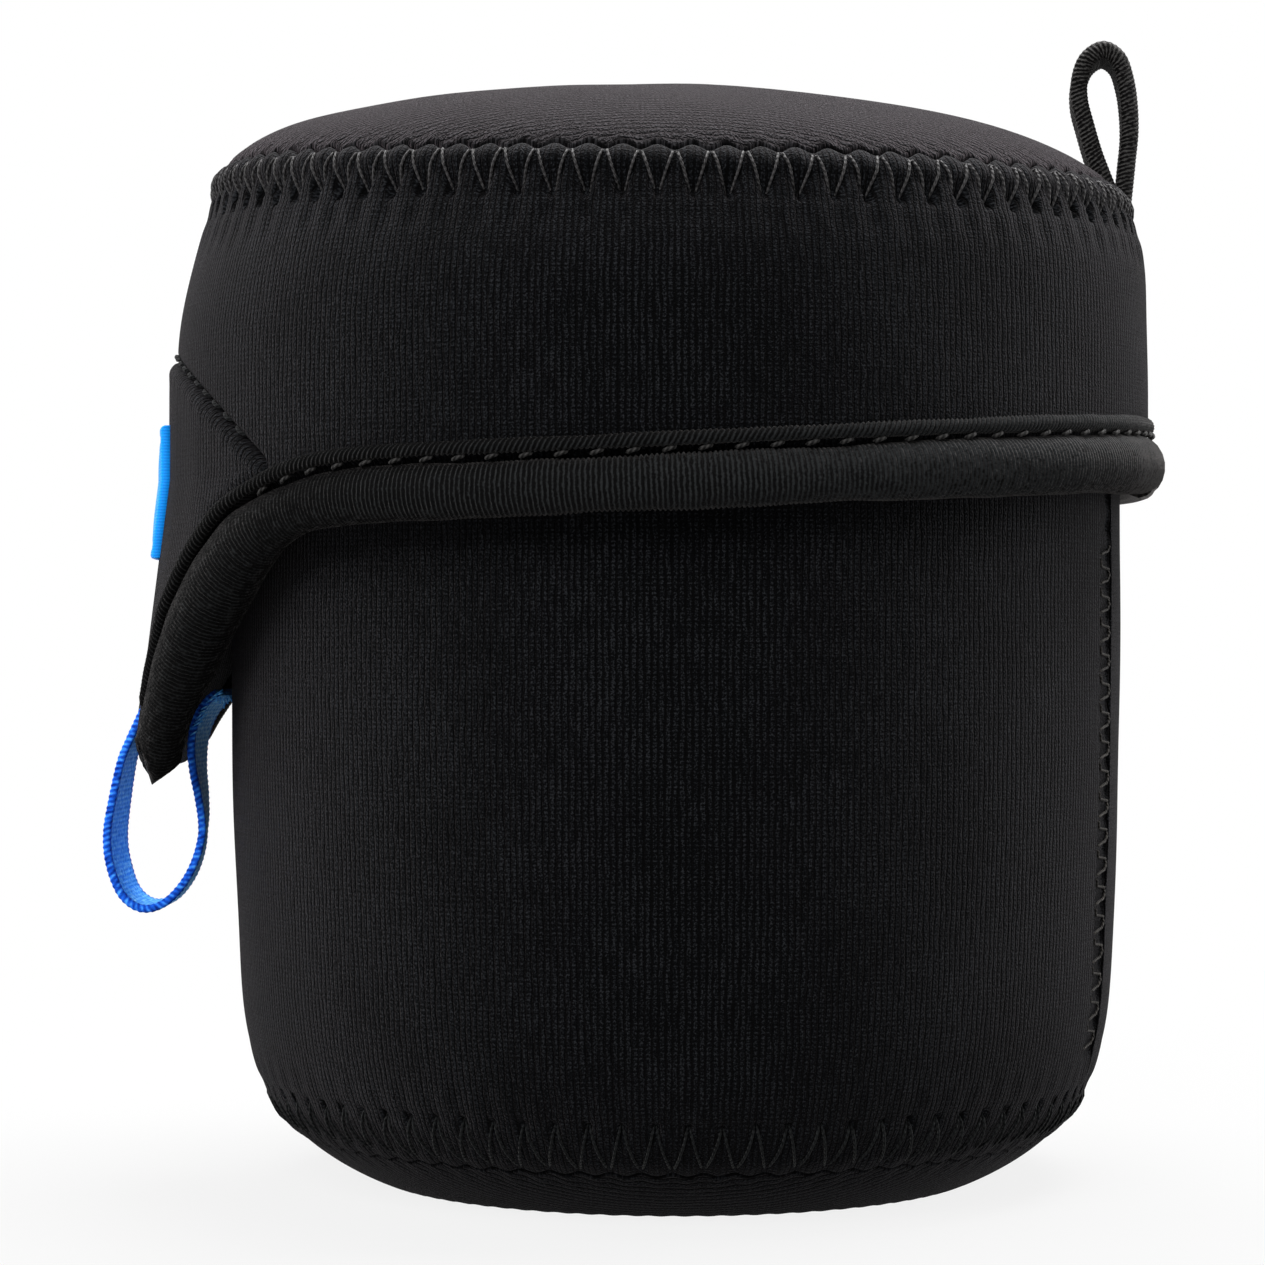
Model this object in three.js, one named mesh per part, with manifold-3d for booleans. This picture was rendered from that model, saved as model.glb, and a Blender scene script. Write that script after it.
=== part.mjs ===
// A soft lens pouch: a neoprene cup with a domed lid that flips back on a cloth hinge.
// Millimetres, +Z up. The origin is the centre of the flat base, the pull tongue is at -X
// and the hinge at +X.
import * as THREE from "three";
import { mergeVertices } from "three/addons/utils/BufferGeometryUtils.js";
import Module from "manifold-3d";

const wasm = await Module();
wasm.setup();

// Cloth and clearances
const sheet = 2.6; // neoprene panel
const lining = 0.6; // brushed lining
const seat = 0.3; // gap kept between pieces that touch
const tape = 0.6; // binding and hinge tape
const threadWidth = 0.5; // sewing thread, laid flat
const threadRun = 0.7; // half height of a zigzag's turn

// Cup
const bodyRadius = 47.6;
const baseCornerWidth = 15.6; // the wall curves in to the flat base over this width
const baseCornerHeight = 30;
const baseSeamHeight = 7.8; // where wall and base panel meet
const baseStitchReach = 3.2; // stitches above and below that seam
const baseStitchPitch = 3.3;
const shoulderHeight = 72; // the mouth draws in above this, under the lid
const shoulderRise = 2.6;
const neckHeight = 13.4;
const bindingDepth = 4.5; // mouth binding on both faces of the rim
const rearSeamGap = 0.6; // butt joint of the wall panel
const rearSeamTurn = 22; // degrees that it lies round from the hinge, towards -Y
const rearSeamReach = 1.8; // rear stitches to each side of it
const rearStitchPitch = 3;

// Hem: a fat roll under a thin piping
const hemBelowShoulder = 0.6; // middle of the roll at the sides
const hemRearRise = 4.7; // the hem climbs towards the hinge
const hemRiseStart = 50; // degrees round from the tongue where the climb starts
const rollHalfHeight = 2.9;
const rollHalfDepth = 1.95;
const tongueRollHalfDepth = 2.9; // the roll is fatter where it wraps two layers
const pipingRadius = 0.8;

// Lid
const lidOffset = 1.4; // the lid sits this far towards the tongue
const rollClearance = 0.5; // between hem roll and cup at the rear
const neckClearance = 0.9; // between hinge leaf and lid lining
const lidTaper = 1.8; // the band draws in by this much at its top
const lidHeadroom = 14.5; // from the cup's rim to the lid's seam
const domeRise = 12.2;
const lidStitchReach = 2.5;
const lidStitchPitch = 3.4;

// Tongue: outline worked out on the unrolled lid
const archRiseOverHem = 16.1;
const archFootReach = 1.5; // the arched seam's feet stand outside the tongue's root
const tongueRootHalfWidth = 36; // where the hem turns down
const tongueTurn = 4.5; // softness of that turn
const tongueSlope = 1;
const tongueTipMargin = 3; // tip's edge to the pull ribbon
const tongueTipOverhang = 0.7; // the panel ends below the roll's middle
const tongueProud = 1.3; // stands proud of the lid band
const tongueFlareRise = 2.3; // the flare starts above the hem
const tongueFlare = 0.125; // outward lean, mm per mm
const tongueSheet = 3;
const facingSheet = 2.3;
const foldDrop = 13.4; // the tip bends up about a line this far under the hem

// Label
const labelWidth = 20;
const labelHeight = 14;
const labelThickness = 1.1;
const labelDrop = 7.7; // below the arch
const labelStitchInset = 1.4;

// Pull loop
const pullRibbonWidth = 10;
const pullRibbonThickness = 1.2;
const pullLoopDrop = 14.4; // free loop below the tongue tip
const pullLoopSpan = 11; // across the free loop, ribbon middles
const pullEndHeight = 8; // ribbon end sewn to each face of the tip
const pullInnerRise = 2.4; // the inner end is sewn higher than the outer
const tackInset = 2; // bar tacks from the ribbon's end
const tackMargin = 1; // and from its edges
const tackHalfHeight = 1;

// Hanging loop
const hangRibbonWidth = 9;
const hangRibbonThickness = 1.7;
const hangLoopHeight = 15; // from its sewn root to its top
const hangLoopSpan = 7.4; // across the loop outside
const hangLoopLean = 3; // degrees that the standing loop leans forward
const hangRootDepth = 1; // sewn root on the cloth

// Hinge strip
const hingeHalfWidth = 12;
const hingeLeafMargin = 0.9; // leaf's top edge to the mouth binding
const hingeWrapAngle = 205; // degrees of the roll that the strip wraps, centred underneath

// Facets
const roundSegments = 36;
const arcSteps = 5;
const archSteps = 12;
const bandSteps = 32;
const bandRows = 4;
const hemSteps = 56;
const hemCrowding = 1.35; // packs the hem's steps towards the tongue
const edgeSamples = 400;
const tongueRows = 12;
const tongueColumns = 8;
const tipRows = 4;
const tipColumns = 6;
const loopSteps = 18;
const stripSteps = 6;
const tackTurns = 6;

// Sizes that follow
const baseFlatRadius = bodyRadius - baseCornerWidth; // flat the pouch stands on
const rimHeight = shoulderHeight + shoulderRise + neckHeight;
const lidRadius = bodyRadius + lidOffset + rollHalfDepth + seat / 2 + rollClearance;
const lidTopRadius = lidRadius - lidTaper;
const lidSeamHeight = rimHeight + lidHeadroom; // where band and top panel meet
const lidSkin = sheet + seat + lining;
const neckRadius = lidRadius - lidOffset - lidSkin - tape - seat - neckClearance;
const hemLevel = shoulderHeight - hemBelowShoulder;
const foldHeight = hemLevel - foldDrop;
const archApexHeight = hemLevel + archRiseOverHem;
const archHalfWidth = tongueRootHalfWidth + archFootReach;
const tongueTipHalfWidth = pullRibbonWidth / 2 + tongueTipMargin;
const labelTop = archApexHeight - labelDrop;
const hingeLeafTop = rimHeight - bindingDepth - hingeLeafMargin;

const degrees = Math.PI / 180;
const lidX = -lidOffset;
const rootGroup = new THREE.Group();

// Materials
const cloth = (name, color, roughness) =>
  new THREE.MeshStandardMaterial({ name, color, roughness, metalness: 0 });
const neoprene = cloth("neoprene", 0x1c1c1e, 0.92);
const bindingCloth = cloth("binding", 0x202123, 0.8);
const liningCloth = cloth("lining", 0x2b2b2e, 0.97);
const blackThread = cloth("thread", 0x242426, 0.7);
const blackWebbing = cloth("webbing", 0x232324, 0.85);
const blueRibbon = cloth("blue_ribbon", 0x1f62d8, 0.6);
const blueLabel = cloth("blue_label", 0x0d8ef0, 0.45);

const add = (name, geometry, material) => {
  const mesh = new THREE.Mesh(geometry, material);
  mesh.name = name;
  rootGroup.add(mesh);
  return mesh;
};

// Signed volume of an indexed mesh, negative where its faces point inwards.
const signedVolume = (points, faces) => {
  let sum = 0;
  for (const [a, b, c] of faces) {
    sum += points[a].dot(points[b].clone().cross(points[c]));
  }
  return sum / 6;
};

// Solid skinned over a row of sections. Every section is a loop of the same even number
// of points; open lofts are capped by pairing each loop's two halves.
const loft = (sections, closed) => {
  const size = sections[0].length;
  const points = sections.flat();
  const faces = [];
  const spans = closed ? sections.length : sections.length - 1;
  for (let row = 0; row < spans; row += 1) {
    const here = row * size;
    const next = ((row + 1) % sections.length) * size;
    for (let i = 0; i < size; i += 1) {
      const j = (i + 1) % size;
      faces.push([here + i, here + j, next + j]);
      faces.push([here + i, next + j, next + i]);
    }
  }
  if (!closed) {
    const last = (sections.length - 1) * size;
    for (let i = 0; i < size / 2 - 1; i += 1) {
      const mate = size - 1 - i;
      faces.push([i, mate, i + 1], [i + 1, mate, mate - 1]);
      faces.push([last + i, last + i + 1, last + mate]);
      faces.push([last + i + 1, last + mate - 1, last + mate]);
    }
  }
  const outward = signedVolume(points, faces) > 0;
  const index = faces.flatMap(([a, b, c]) => (outward ? [a, b, c] : [a, c, b]));
  const geometry = new THREE.BufferGeometry().setFromPoints(points);
  geometry.setIndex(index);
  return geometry;
};

// Turned solid about the Z axis from a profile of [radius, height] pairs.
const turned = (profile, x = 0) => {
  const points = profile.map(([r, z]) => new THREE.Vector2(r, z));
  const geometry = new THREE.LatheGeometry(points, roundSegments);
  return geometry.rotateX(Math.PI / 2).translate(x, 0, 0);
};

// Closed mesh as a solid for cutting.
const toSolid = (geometry) => {
  const bare = geometry.clone();
  bare.deleteAttribute("normal");
  bare.deleteAttribute("uv");
  const merged = mergeVertices(bare, 1e-3);
  return new wasm.Manifold(
    new wasm.Mesh({
      numProp: 3,
      vertProperties: merged.attributes.position.array,
      triVerts: new Uint32Array(merged.index.array),
    }),
  );
};

const toGeometry = (solid) => {
  const mesh = solid.getMesh();
  const geometry = new THREE.BufferGeometry();
  geometry.setAttribute("position", new THREE.BufferAttribute(mesh.vertProperties, 3));
  geometry.setIndex(new THREE.BufferAttribute(mesh.triVerts, 1));
  return geometry;
};

// Points along an arc parameter, both ends included.
const steps = (from, to, count) =>
  Array.from({ length: count + 1 }, (_, i) => from + ((to - from) * i) / count);

// Point at an angle round the lid, measured from the tongue towards -Y.
const lidPoint = (angle, radius, z) =>
  new THREE.Vector3(lidX - radius * Math.cos(angle), -radius * Math.sin(angle), z);

// Point at an angle round the cup, measured from the tongue towards -Y.
const cupPoint = (angle, radius, z) =>
  new THREE.Vector3(-radius * Math.cos(angle), -radius * Math.sin(angle), z);

// Cup profile, inset from the outer face. The corner is a quarter ellipse.
const cupCorner = (inset, t) => [
  baseFlatRadius + (bodyRadius - baseFlatRadius - inset) * Math.cos(t),
  baseCornerHeight - (baseCornerHeight - inset) * Math.sin(t),
];
const cornerAngle = (height) => Math.asin(1 - height / baseCornerHeight);
const cupSide = (inset) => [
  [bodyRadius - inset, shoulderHeight],
  [neckRadius - inset, shoulderHeight + shoulderRise],
];

const makeCup = () => {
  const wallEdge = cornerAngle(baseSeamHeight + seat / 2);
  const baseEdge = cornerAngle(baseSeamHeight - seat / 2);
  const wall = [
    ...steps(wallEdge, 0, arcSteps).map((t) => cupCorner(0, t)),
    ...cupSide(0),
    [neckRadius, rimHeight],
    [neckRadius - sheet, rimHeight],
    ...cupSide(sheet).reverse(),
    ...steps(0, wallEdge, arcSteps).map((t) => cupCorner(sheet, t)),
  ];
  wall.push(wall[0]);
  const slit = new THREE.BoxGeometry(bodyRadius, rearSeamGap, rimHeight * 2);
  slit.translate(bodyRadius, 0, rimHeight / 2).rotateZ(-rearSeamTurn * degrees);
  const panel = toSolid(turned(wall)).subtract(toSolid(slit));
  add("body_wall", toGeometry(panel), neoprene);

  const base = [
    [0, 0],
    ...steps(Math.PI / 2, baseEdge, arcSteps).map((t) => cupCorner(0, t)),
    ...steps(baseEdge, Math.PI / 2, arcSteps).map((t) => cupCorner(sheet, t)),
    [0, sheet],
  ];
  add("bottom_panel", turned(base), neoprene);

  const liningSide = (inset) => [
    [0, inset],
    ...steps(Math.PI / 2, 0, arcSteps).map((t) => cupCorner(inset, t)),
    ...cupSide(inset),
    [neckRadius - inset, rimHeight - bindingDepth - seat],
  ];
  const cupLining = [
    ...liningSide(sheet + seat),
    ...liningSide(sheet + seat + lining).reverse(),
  ];
  add("body_lining", turned(cupLining), liningCloth);

  const rimOuter = neckRadius + seat;
  const rimInner = neckRadius - sheet - seat;
  const rimLow = rimHeight - bindingDepth;
  const rimTop = rimHeight + seat;
  const binding = [
    [rimOuter, rimLow],
    [rimOuter + tape, rimLow],
    [rimOuter + tape, rimTop],
    [rimOuter, rimTop + tape],
    [rimInner, rimTop + tape],
    [rimInner - tape, rimTop],
    [rimInner - tape, rimLow],
    [rimInner, rimLow],
    [rimInner, rimTop],
    [rimOuter, rimTop],
    [rimOuter, rimLow],
  ];
  add("mouth_binding", turned(binding), bindingCloth);
};

// Zigzag thread. Each turn is a flat section at one side of the seam; place gives the
// point at a turn, across the seam from -1 to 1, lifted off the cloth.
const zigzag = (turns, place, closed) => {
  const count = closed ? turns * 2 : turns * 2 + 1;
  const sections = Array.from({ length: count }, (_, i) => {
    const side = i % 2 ? 1 : -1;
    const low = seat;
    const high = seat + threadWidth;
    return [
      place(i / 2, side, -threadRun, low),
      place(i / 2, side, threadRun, low),
      place(i / 2, side, threadRun, high),
      place(i / 2, side, -threadRun, high),
    ];
  });
  return loft(sections, closed);
};

const seamTurns = (radius, pitch) => Math.round((2 * Math.PI * radius) / pitch);

const makeCupSeams = () => {
  const turns = seamTurns(bodyRadius, baseStitchPitch);
  const seamPlace = (turn, side, slide, lift) => {
    const angle = (turn / turns) * 2 * Math.PI;
    const z = baseSeamHeight + side * baseStitchReach + slide;
    const [r] = cupCorner(0, cornerAngle(z));
    return cupPoint(angle, r + lift + seat, z);
  };
  add("bottom_seam_thread", zigzag(turns, seamPlace, true), blackThread);

  const low = baseSeamHeight + baseStitchReach + 2 * threadRun;
  const high = shoulderHeight - threadRun;
  const rearTurns = Math.floor((high - low) / rearStitchPitch);
  const rearPlace = (turn, side, slide, lift) => {
    const across = side * rearSeamReach + slide;
    const z = low + turn * rearStitchPitch;
    const [r] = z < baseCornerHeight ? cupCorner(0, cornerAngle(z)) : [bodyRadius];
    return cupPoint(Math.PI - rearSeamTurn * degrees + across / r, r + lift, z);
  };
  add("rear_seam_thread", zigzag(rearTurns, rearPlace, false), blackThread);
};

// Lid surface
const lidOuter = (z) => {
  const up = Math.max(0, z - rimHeight) / lidHeadroom;
  return lidRadius - lidTaper * up * up;
};
const dome = (inset, t) => [
  (lidTopRadius - inset) * Math.cos(t),
  lidSeamHeight + (domeRise - inset) * Math.sin(t),
];

// Hem line on the unrolled lid: distance from the tongue's middle to height.
const quarterTurn = (lidRadius * Math.PI) / 2;
const hemDrop = (s) =>
  tongueSlope * tongueTurn * Math.log(1 + Math.exp((tongueRootHalfWidth - s) / tongueTurn));
const hemHeight = (s) => {
  const climbStart = hemRiseStart * degrees * lidRadius;
  const back = Math.max(0, s - climbStart) / (2 * quarterTurn - climbStart);
  return hemLevel - hemDrop(s) + hemRearRise * back * back * (3 - 2 * back);
};
const hemSlope = (s) => {
  const nudge = 0.01;
  return (hemHeight(s + nudge) - hemHeight(s - nudge)) / (2 * nudge);
};
const tongueTipHeight = hemHeight(tongueTipHalfWidth) - tongueTipOverhang;

// Point beside the hem line, on the panel side, on the unrolled lid.
const besideHem = (s, offset) => {
  const slope = hemSlope(s);
  const length = Math.hypot(1, slope);
  return [s - (offset * slope) / length, hemHeight(s) + offset / length];
};
const pipingOffset = rollHalfHeight + pipingRadius;
const panelOffset = rollHalfHeight + 2 * pipingRadius + seat;

// Value of an increasing table of pairs at a given first number.
const along = (pairs, x) => {
  const i = Math.min(pairs.length - 1, Math.max(1, pairs.findIndex(([a]) => a >= x)));
  const [x0, y0] = pairs[i - 1];
  const [x1, y1] = pairs[i];
  return y0 + ((y1 - y0) * (x - x0)) / (x1 - x0);
};
const edgeRange = [tongueTipHalfWidth / 2, 2 * quarterTurn + panelOffset];
const panelEdge = steps(...edgeRange, edgeSamples).map((s) => besideHem(s, panelOffset));
const edgeByHeight = panelEdge
  .filter(([s]) => s < quarterTurn)
  .map(([s, z]) => [z, s]);

// Arched seam between lid band and tongue
const archHalfAngle = archHalfWidth / lidRadius;
const archRise = archApexHeight - along(panelEdge, archHalfWidth);
const archHeight = (s) => archApexHeight - archRise * (s / archHalfWidth) ** 2;
const archWidth = (z) =>
  archHalfWidth * Math.sqrt(Math.max(0, archApexHeight - z) / archRise);

const bandLowEdge = (angle) => {
  const s = Math.abs(angle) * lidRadius;
  return s < archHalfWidth ? archHeight(s) : along(panelEdge, s);
};
const bandAngles = [
  ...steps(-archHalfAngle, archHalfAngle, archSteps),
  ...steps(archHalfAngle, 2 * Math.PI - archHalfAngle, bandSteps).slice(1, -1),
];
const wrapAngle = (angle) => (angle > Math.PI ? angle - 2 * Math.PI : angle);

// Ring between a varying lower edge and the lid's seam.
const bandRing = (inset, thickness, lowGap) =>
  loft(
    bandAngles.map((angle) => {
      const low = bandLowEdge(wrapAngle(angle)) + lowGap;
      const high = lidSeamHeight - seat / 2;
      const heights = steps(low, high, bandRows);
      const outer = heights.map((z) => lidPoint(angle, lidOuter(z) - inset, z));
      const inner = heights.map((z) => lidPoint(angle, lidOuter(z) - inset - thickness, z));
      return [...outer, ...inner.reverse()];
    }),
    true,
  );

const makeLidShell = () => {
  add("lid_band", bandRing(0, sheet, seat), neoprene);
  add("lid_band_lining", bandRing(sheet + seat, lining, seat + lining), liningCloth);

  const edge = Math.asin(seat / 2 / domeRise);
  const domeShell = (inset, thickness) => {
    const over = steps(edge, Math.PI / 2, arcSteps + 1);
    const outer = over.map((t) => dome(inset, t));
    const inner = over.map((t) => dome(inset + thickness, t));
    return turned([...inner.reverse(), ...outer], lidX);
  };
  add("lid_top_panel", domeShell(0, sheet), neoprene);
  add("lid_top_lining", domeShell(sheet + seat, lining), liningCloth);

  const turns = seamTurns(lidTopRadius, lidStitchPitch);
  const place = (turn, side, slide, lift) => {
    const angle = (turn / turns) * 2 * Math.PI;
    const z = lidSeamHeight + side * lidStitchReach + slide;
    const up = Math.max(0, z - lidSeamHeight) / domeRise;
    const r = up > 0 ? dome(0, Math.asin(up))[0] : lidOuter(z);
    return lidPoint(angle, r + lift + seat, z);
  };
  add("lid_top_seam_thread", zigzag(turns, place, true), blackThread);
};

// Tongue surface: outer face of the panel at a height
const tongueOuter = (z) =>
  lidRadius + tongueProud + tongueFlare * Math.max(0, hemLevel + tongueFlareRise - z);
const tongueHalfWidth = (z) => {
  const below = Math.max(along(edgeByHeight, z), tongueTipHalfWidth - panelOffset / 2);
  return Math.min(below, archWidth(z + seat)) - seat;
};

// Layer of the tongue between two heights, inset from the outer face.
const tongueLayer = (low, high, rows, columns, inset, thickness) => {
  const heights = steps(low, high, rows);
  const sections = heights.map((z) => {
    const halfWidth = Math.max(tongueHalfWidth(z), threadWidth);
    const across = steps(-halfWidth, halfWidth, columns).map((s) => s / lidRadius);
    const r = tongueOuter(z) - inset;
    const outer = across.map((angle) => lidPoint(angle, r, z));
    const inner = across.map((angle) => lidPoint(angle, r - thickness, z));
    return [...outer, ...inner.reverse()];
  });
  return loft(sections, false);
};
const facingInset = tongueSheet + seat;
const tongueDepth = facingInset + facingSheet;
const foldGap = seat / 2;
const tongueTop = archApexHeight - 2 * seat;

const makeTongue = () => {
  const upper = [foldHeight + foldGap, tongueTop, tongueRows, tongueColumns];
  const lower = [tongueTipHeight, foldHeight - foldGap, tipRows, tipColumns];
  add("tongue_panel", tongueLayer(...upper, 0, tongueSheet), neoprene);
  add("tongue_facing", tongueLayer(...upper, facingInset, facingSheet), neoprene);
  add("tongue_tip_panel", tongueLayer(...lower, 0, tongueSheet), neoprene);
  add("tongue_tip_facing", tongueLayer(...lower, facingInset, facingSheet), neoprene);

  const stitchReach = archHalfWidth - panelOffset;
  const stitchLift = tongueProud + seat;
  const stitch = steps(-stitchReach, stitchReach, 2 * archSteps).map((s) => {
    const z = archHeight(s) + seat;
    const ring = (dz, lift) => lidPoint(s / lidRadius, lidOuter(z) + stitchLift + lift, z + dz);
    return [
      ring(-threadWidth / 2, 0),
      ring(threadWidth / 2, 0),
      ring(threadWidth / 2, threadWidth),
      ring(-threadWidth / 2, threadWidth),
    ];
  });
  add("tongue_seam_thread", loft(stitch, false), blackThread);
};

// Hem roll and piping. Sections stand square to the hem line on the lid's surface.
const tongueShare = (z) => Math.min(1, Math.max(0, (hemLevel - z) / (hemLevel - foldHeight)));
const rollMiddle = (z) =>
  THREE.MathUtils.lerp(lidRadius - seat / 2, tongueOuter(z) - tongueDepth / 2, tongueShare(z));
const rollDepth = (z) => THREE.MathUtils.lerp(rollHalfDepth, tongueRollHalfDepth, tongueShare(z));

const hemSection = (s, side, offset, halfHeight, depthAt, middleAt, sides) => {
  const z = hemHeight(s);
  return Array.from({ length: sides }, (_, i) => {
    const turn = ((i + 0.5) / sides) * 2 * Math.PI;
    const [a, height] = besideHem(s, offset + halfHeight * Math.cos(turn));
    const r = middleAt(z) + depthAt(z) * Math.sin(turn);
    return lidPoint((side * a) / lidRadius, r, height);
  });
};
const rollSection = (s, side) =>
  hemSection(s, side, 0, rollHalfHeight, rollDepth, rollMiddle, 8);
const pipingMiddle = (z) => rollMiddle(z) + rollDepth(z) - pipingRadius;
const pipingSection = (s, side) =>
  hemSection(s, side, pipingOffset, pipingRadius - seat / 2, () => pipingRadius, pipingMiddle, 6);
const topstitchSection = (s, side) =>
  hemSection(
    s,
    side,
    rollHalfHeight + seat / 2,
    threadWidth / 2,
    () => threadWidth / 2,
    (z) => rollMiddle(z) + rollDepth(z) + threadWidth / 2,
    4,
  );

// Run of a hem section from the tongue's tip round the rear to the other side.
const hemRun = (section, start) => {
  const rear = Math.PI * lidRadius;
  const half = steps(0, 1, hemSteps / 2).map((u) => start + (rear - start) * u ** hemCrowding);
  const near = half.map((s) => section(s, 1));
  const far = half.slice(0, -1).map((s) => section(s, -1));
  return loft([...near, ...far.reverse()], false);
};

// Block that reaches past the whole lid, above or below a height.
const halfSpace = (height, above) => {
  const reach = 4 * lidRadius;
  const block = new THREE.BoxGeometry(reach, reach, reach);
  block.translate(lidX, 0, height + (above ? reach / 2 : -reach / 2));
  return toSolid(block);
};

const makeHem = () => {
  const lowerBlock = halfSpace(foldHeight + foldGap, false);
  const upperBlock = halfSpace(foldHeight - foldGap, true);
  const pieces = [
    ["roll", rollSection, tongueTipHalfWidth],
    ["piping", pipingSection, tongueTipHalfWidth + panelOffset],
  ];
  for (const [name, section, start] of pieces) {
    const whole = toSolid(hemRun(section, start));
    add(`hem_${name}`, toGeometry(whole.subtract(lowerBlock)), bindingCloth);
    const tips = whole.subtract(upperBlock).decompose();
    for (const tip of tips) {
      const side = tip.boundingBox().max[1] < 0 ? "near" : "far";
      add(`tongue_tip_${name}_${side}`, toGeometry(tip), bindingCloth);
    }
  }
  add("hem_topstitch", hemRun(topstitchSection, tongueRootHalfWidth), blackThread);
};

// Label: a patch bent round the tongue, and the thread round its edge
const makeLabel = () => {
  const labelLow = labelTop - labelHeight;
  const labelPoint = (s, z, lift) => lidPoint(s / lidRadius, tongueOuter(z) + seat + lift, z);
  const half = labelWidth / 2;
  const patch = steps(labelLow, labelTop, tipRows).map((z) => {
    const across = steps(-half, half, tongueColumns);
    const outer = across.map((s) => labelPoint(s, z, labelThickness));
    const inner = across.map((s) => labelPoint(s, z, 0));
    return [...outer, ...inner.reverse()];
  });
  add("front_label", loft(patch, false), blueLabel);

  const frame = (inset) => {
    const reach = half - labelStitchInset - inset;
    const low = labelLow + labelStitchInset + inset;
    const top = labelTop - labelStitchInset - inset;
    return [
      ...steps(-reach, reach, tongueColumns).map((s) => [s, low]),
      ...steps(reach, -reach, tongueColumns).map((s) => [s, top]),
    ];
  };
  const outside = frame(-threadWidth / 2);
  const inside = frame(threadWidth / 2);
  const under = labelThickness + seat;
  const stitch = outside.map(([s, z], i) => [
    labelPoint(...inside[i], under),
    labelPoint(s, z, under),
    labelPoint(s, z, under + threadWidth),
    labelPoint(...inside[i], under + threadWidth),
  ]);
  add("label_stitch", loft(stitch, true), blackThread);
};

// Ribbon along a path in the XZ plane, its width along Y.
const ribbon = (path, thickness, width) => {
  const sections = path.map(([x, z], i) => {
    const [ax, az] = path[Math.max(0, i - 1)];
    const [bx, bz] = path[Math.min(path.length - 1, i + 1)];
    const length = Math.hypot(bx - ax, bz - az);
    const nx = (-(bz - az) / length) * (thickness / 2);
    const nz = ((bx - ax) / length) * (thickness / 2);
    return [
      new THREE.Vector3(x + nx, -width / 2, z + nz),
      new THREE.Vector3(x + nx, width / 2, z + nz),
      new THREE.Vector3(x - nx, width / 2, z - nz),
      new THREE.Vector3(x - nx, -width / 2, z - nz),
    ];
  });
  return loft(sections, false);
};

// Bar tack: short zigzag across a ribbon, facing along X.
const barTack = (x, z, width, outward) => {
  const place = (turn, side, slide, lift) => {
    const y = -width / 2 + (width * turn) / tackTurns;
    return new THREE.Vector3(x + outward * lift, y, z + side * tackHalfHeight + slide / 2);
  };
  return zigzag(tackTurns, place, false);
};

const makePullLoop = () => {
  const half = pullRibbonThickness / 2;
  const outerFace = (z) => lidX - tongueOuter(z) - seat - half;
  const innerFace = (z) =>
    lidX - (tongueOuter(z) - tongueDepth) * Math.cos(pullRibbonWidth / 2 / lidRadius) + seat + half;
  const tip = tongueTipHeight;
  const outerTop = tip + pullEndHeight;
  const innerTop = outerTop + pullInnerRise;
  const rootX = outerFace(tip) - seat;
  const innerX = innerFace(tip) + seat;
  const outerEnd = [outerTop, tip + pullEndHeight / 2, tip + seat].map((z) => [outerFace(z), z]);
  const innerEnd = [innerTop, tip + pullEndHeight / 2, tip + seat].map((z) => [innerFace(z), z]);
  outerEnd.push([rootX, tip - seat]);
  innerEnd.push([innerX, tip - seat]);
  add("pull_loop_outer_end", ribbon(outerEnd, pullRibbonThickness, pullRibbonWidth), blueRibbon);
  add("pull_loop_inner_end", ribbon(innerEnd, pullRibbonThickness, pullRibbonWidth), blueRibbon);

  const tackWidth = pullRibbonWidth - 2 * tackMargin;
  const tackFall = tackInset + tackHalfHeight + threadRun;
  const tackOut = outerFace(outerTop - tackFall) - half;
  const tackIn = innerFace(innerTop) + half;
  add("pull_loop_outer_tack", barTack(tackOut, outerTop - tackInset, tackWidth, -1), blackThread);
  add("pull_loop_inner_tack", barTack(tackIn, innerTop - tackInset, tackWidth, 1), blackThread);

  // Free loop: a teardrop whose legs start just under the sewn ends.
  const top = tip - 2 * seat;
  const middleX = (rootX + innerX) / 2;
  const rootSpan = innerX - rootX;
  const path = steps(0, Math.PI, loopSteps).map((t) => {
    const down = Math.sin(t) ** 0.75;
    const bulge = 2 * Math.sin(t) * (1 - Math.sin(t) ** 4);
    const swell = rootSpan + (pullLoopSpan - rootSpan) * bulge;
    return [middleX - (swell / 2) * Math.cos(t), top - pullLoopDrop * down];
  });
  add("pull_loop", ribbon(path, pullRibbonThickness, pullRibbonWidth), blueRibbon);
};

// Outline round two circles on one upright line, the upper one larger.
const tearOutline = (path, lowRadius, lowHeight, highRadius, highHeight) => {
  const splay = Math.asin((highRadius - lowRadius) / (highHeight - lowHeight));
  path.absarc(0, lowHeight, lowRadius, Math.PI + splay, 2 * Math.PI - splay, false);
  path.absarc(0, highHeight, highRadius, -splay, Math.PI + splay, false);
  return path;
};

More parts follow.
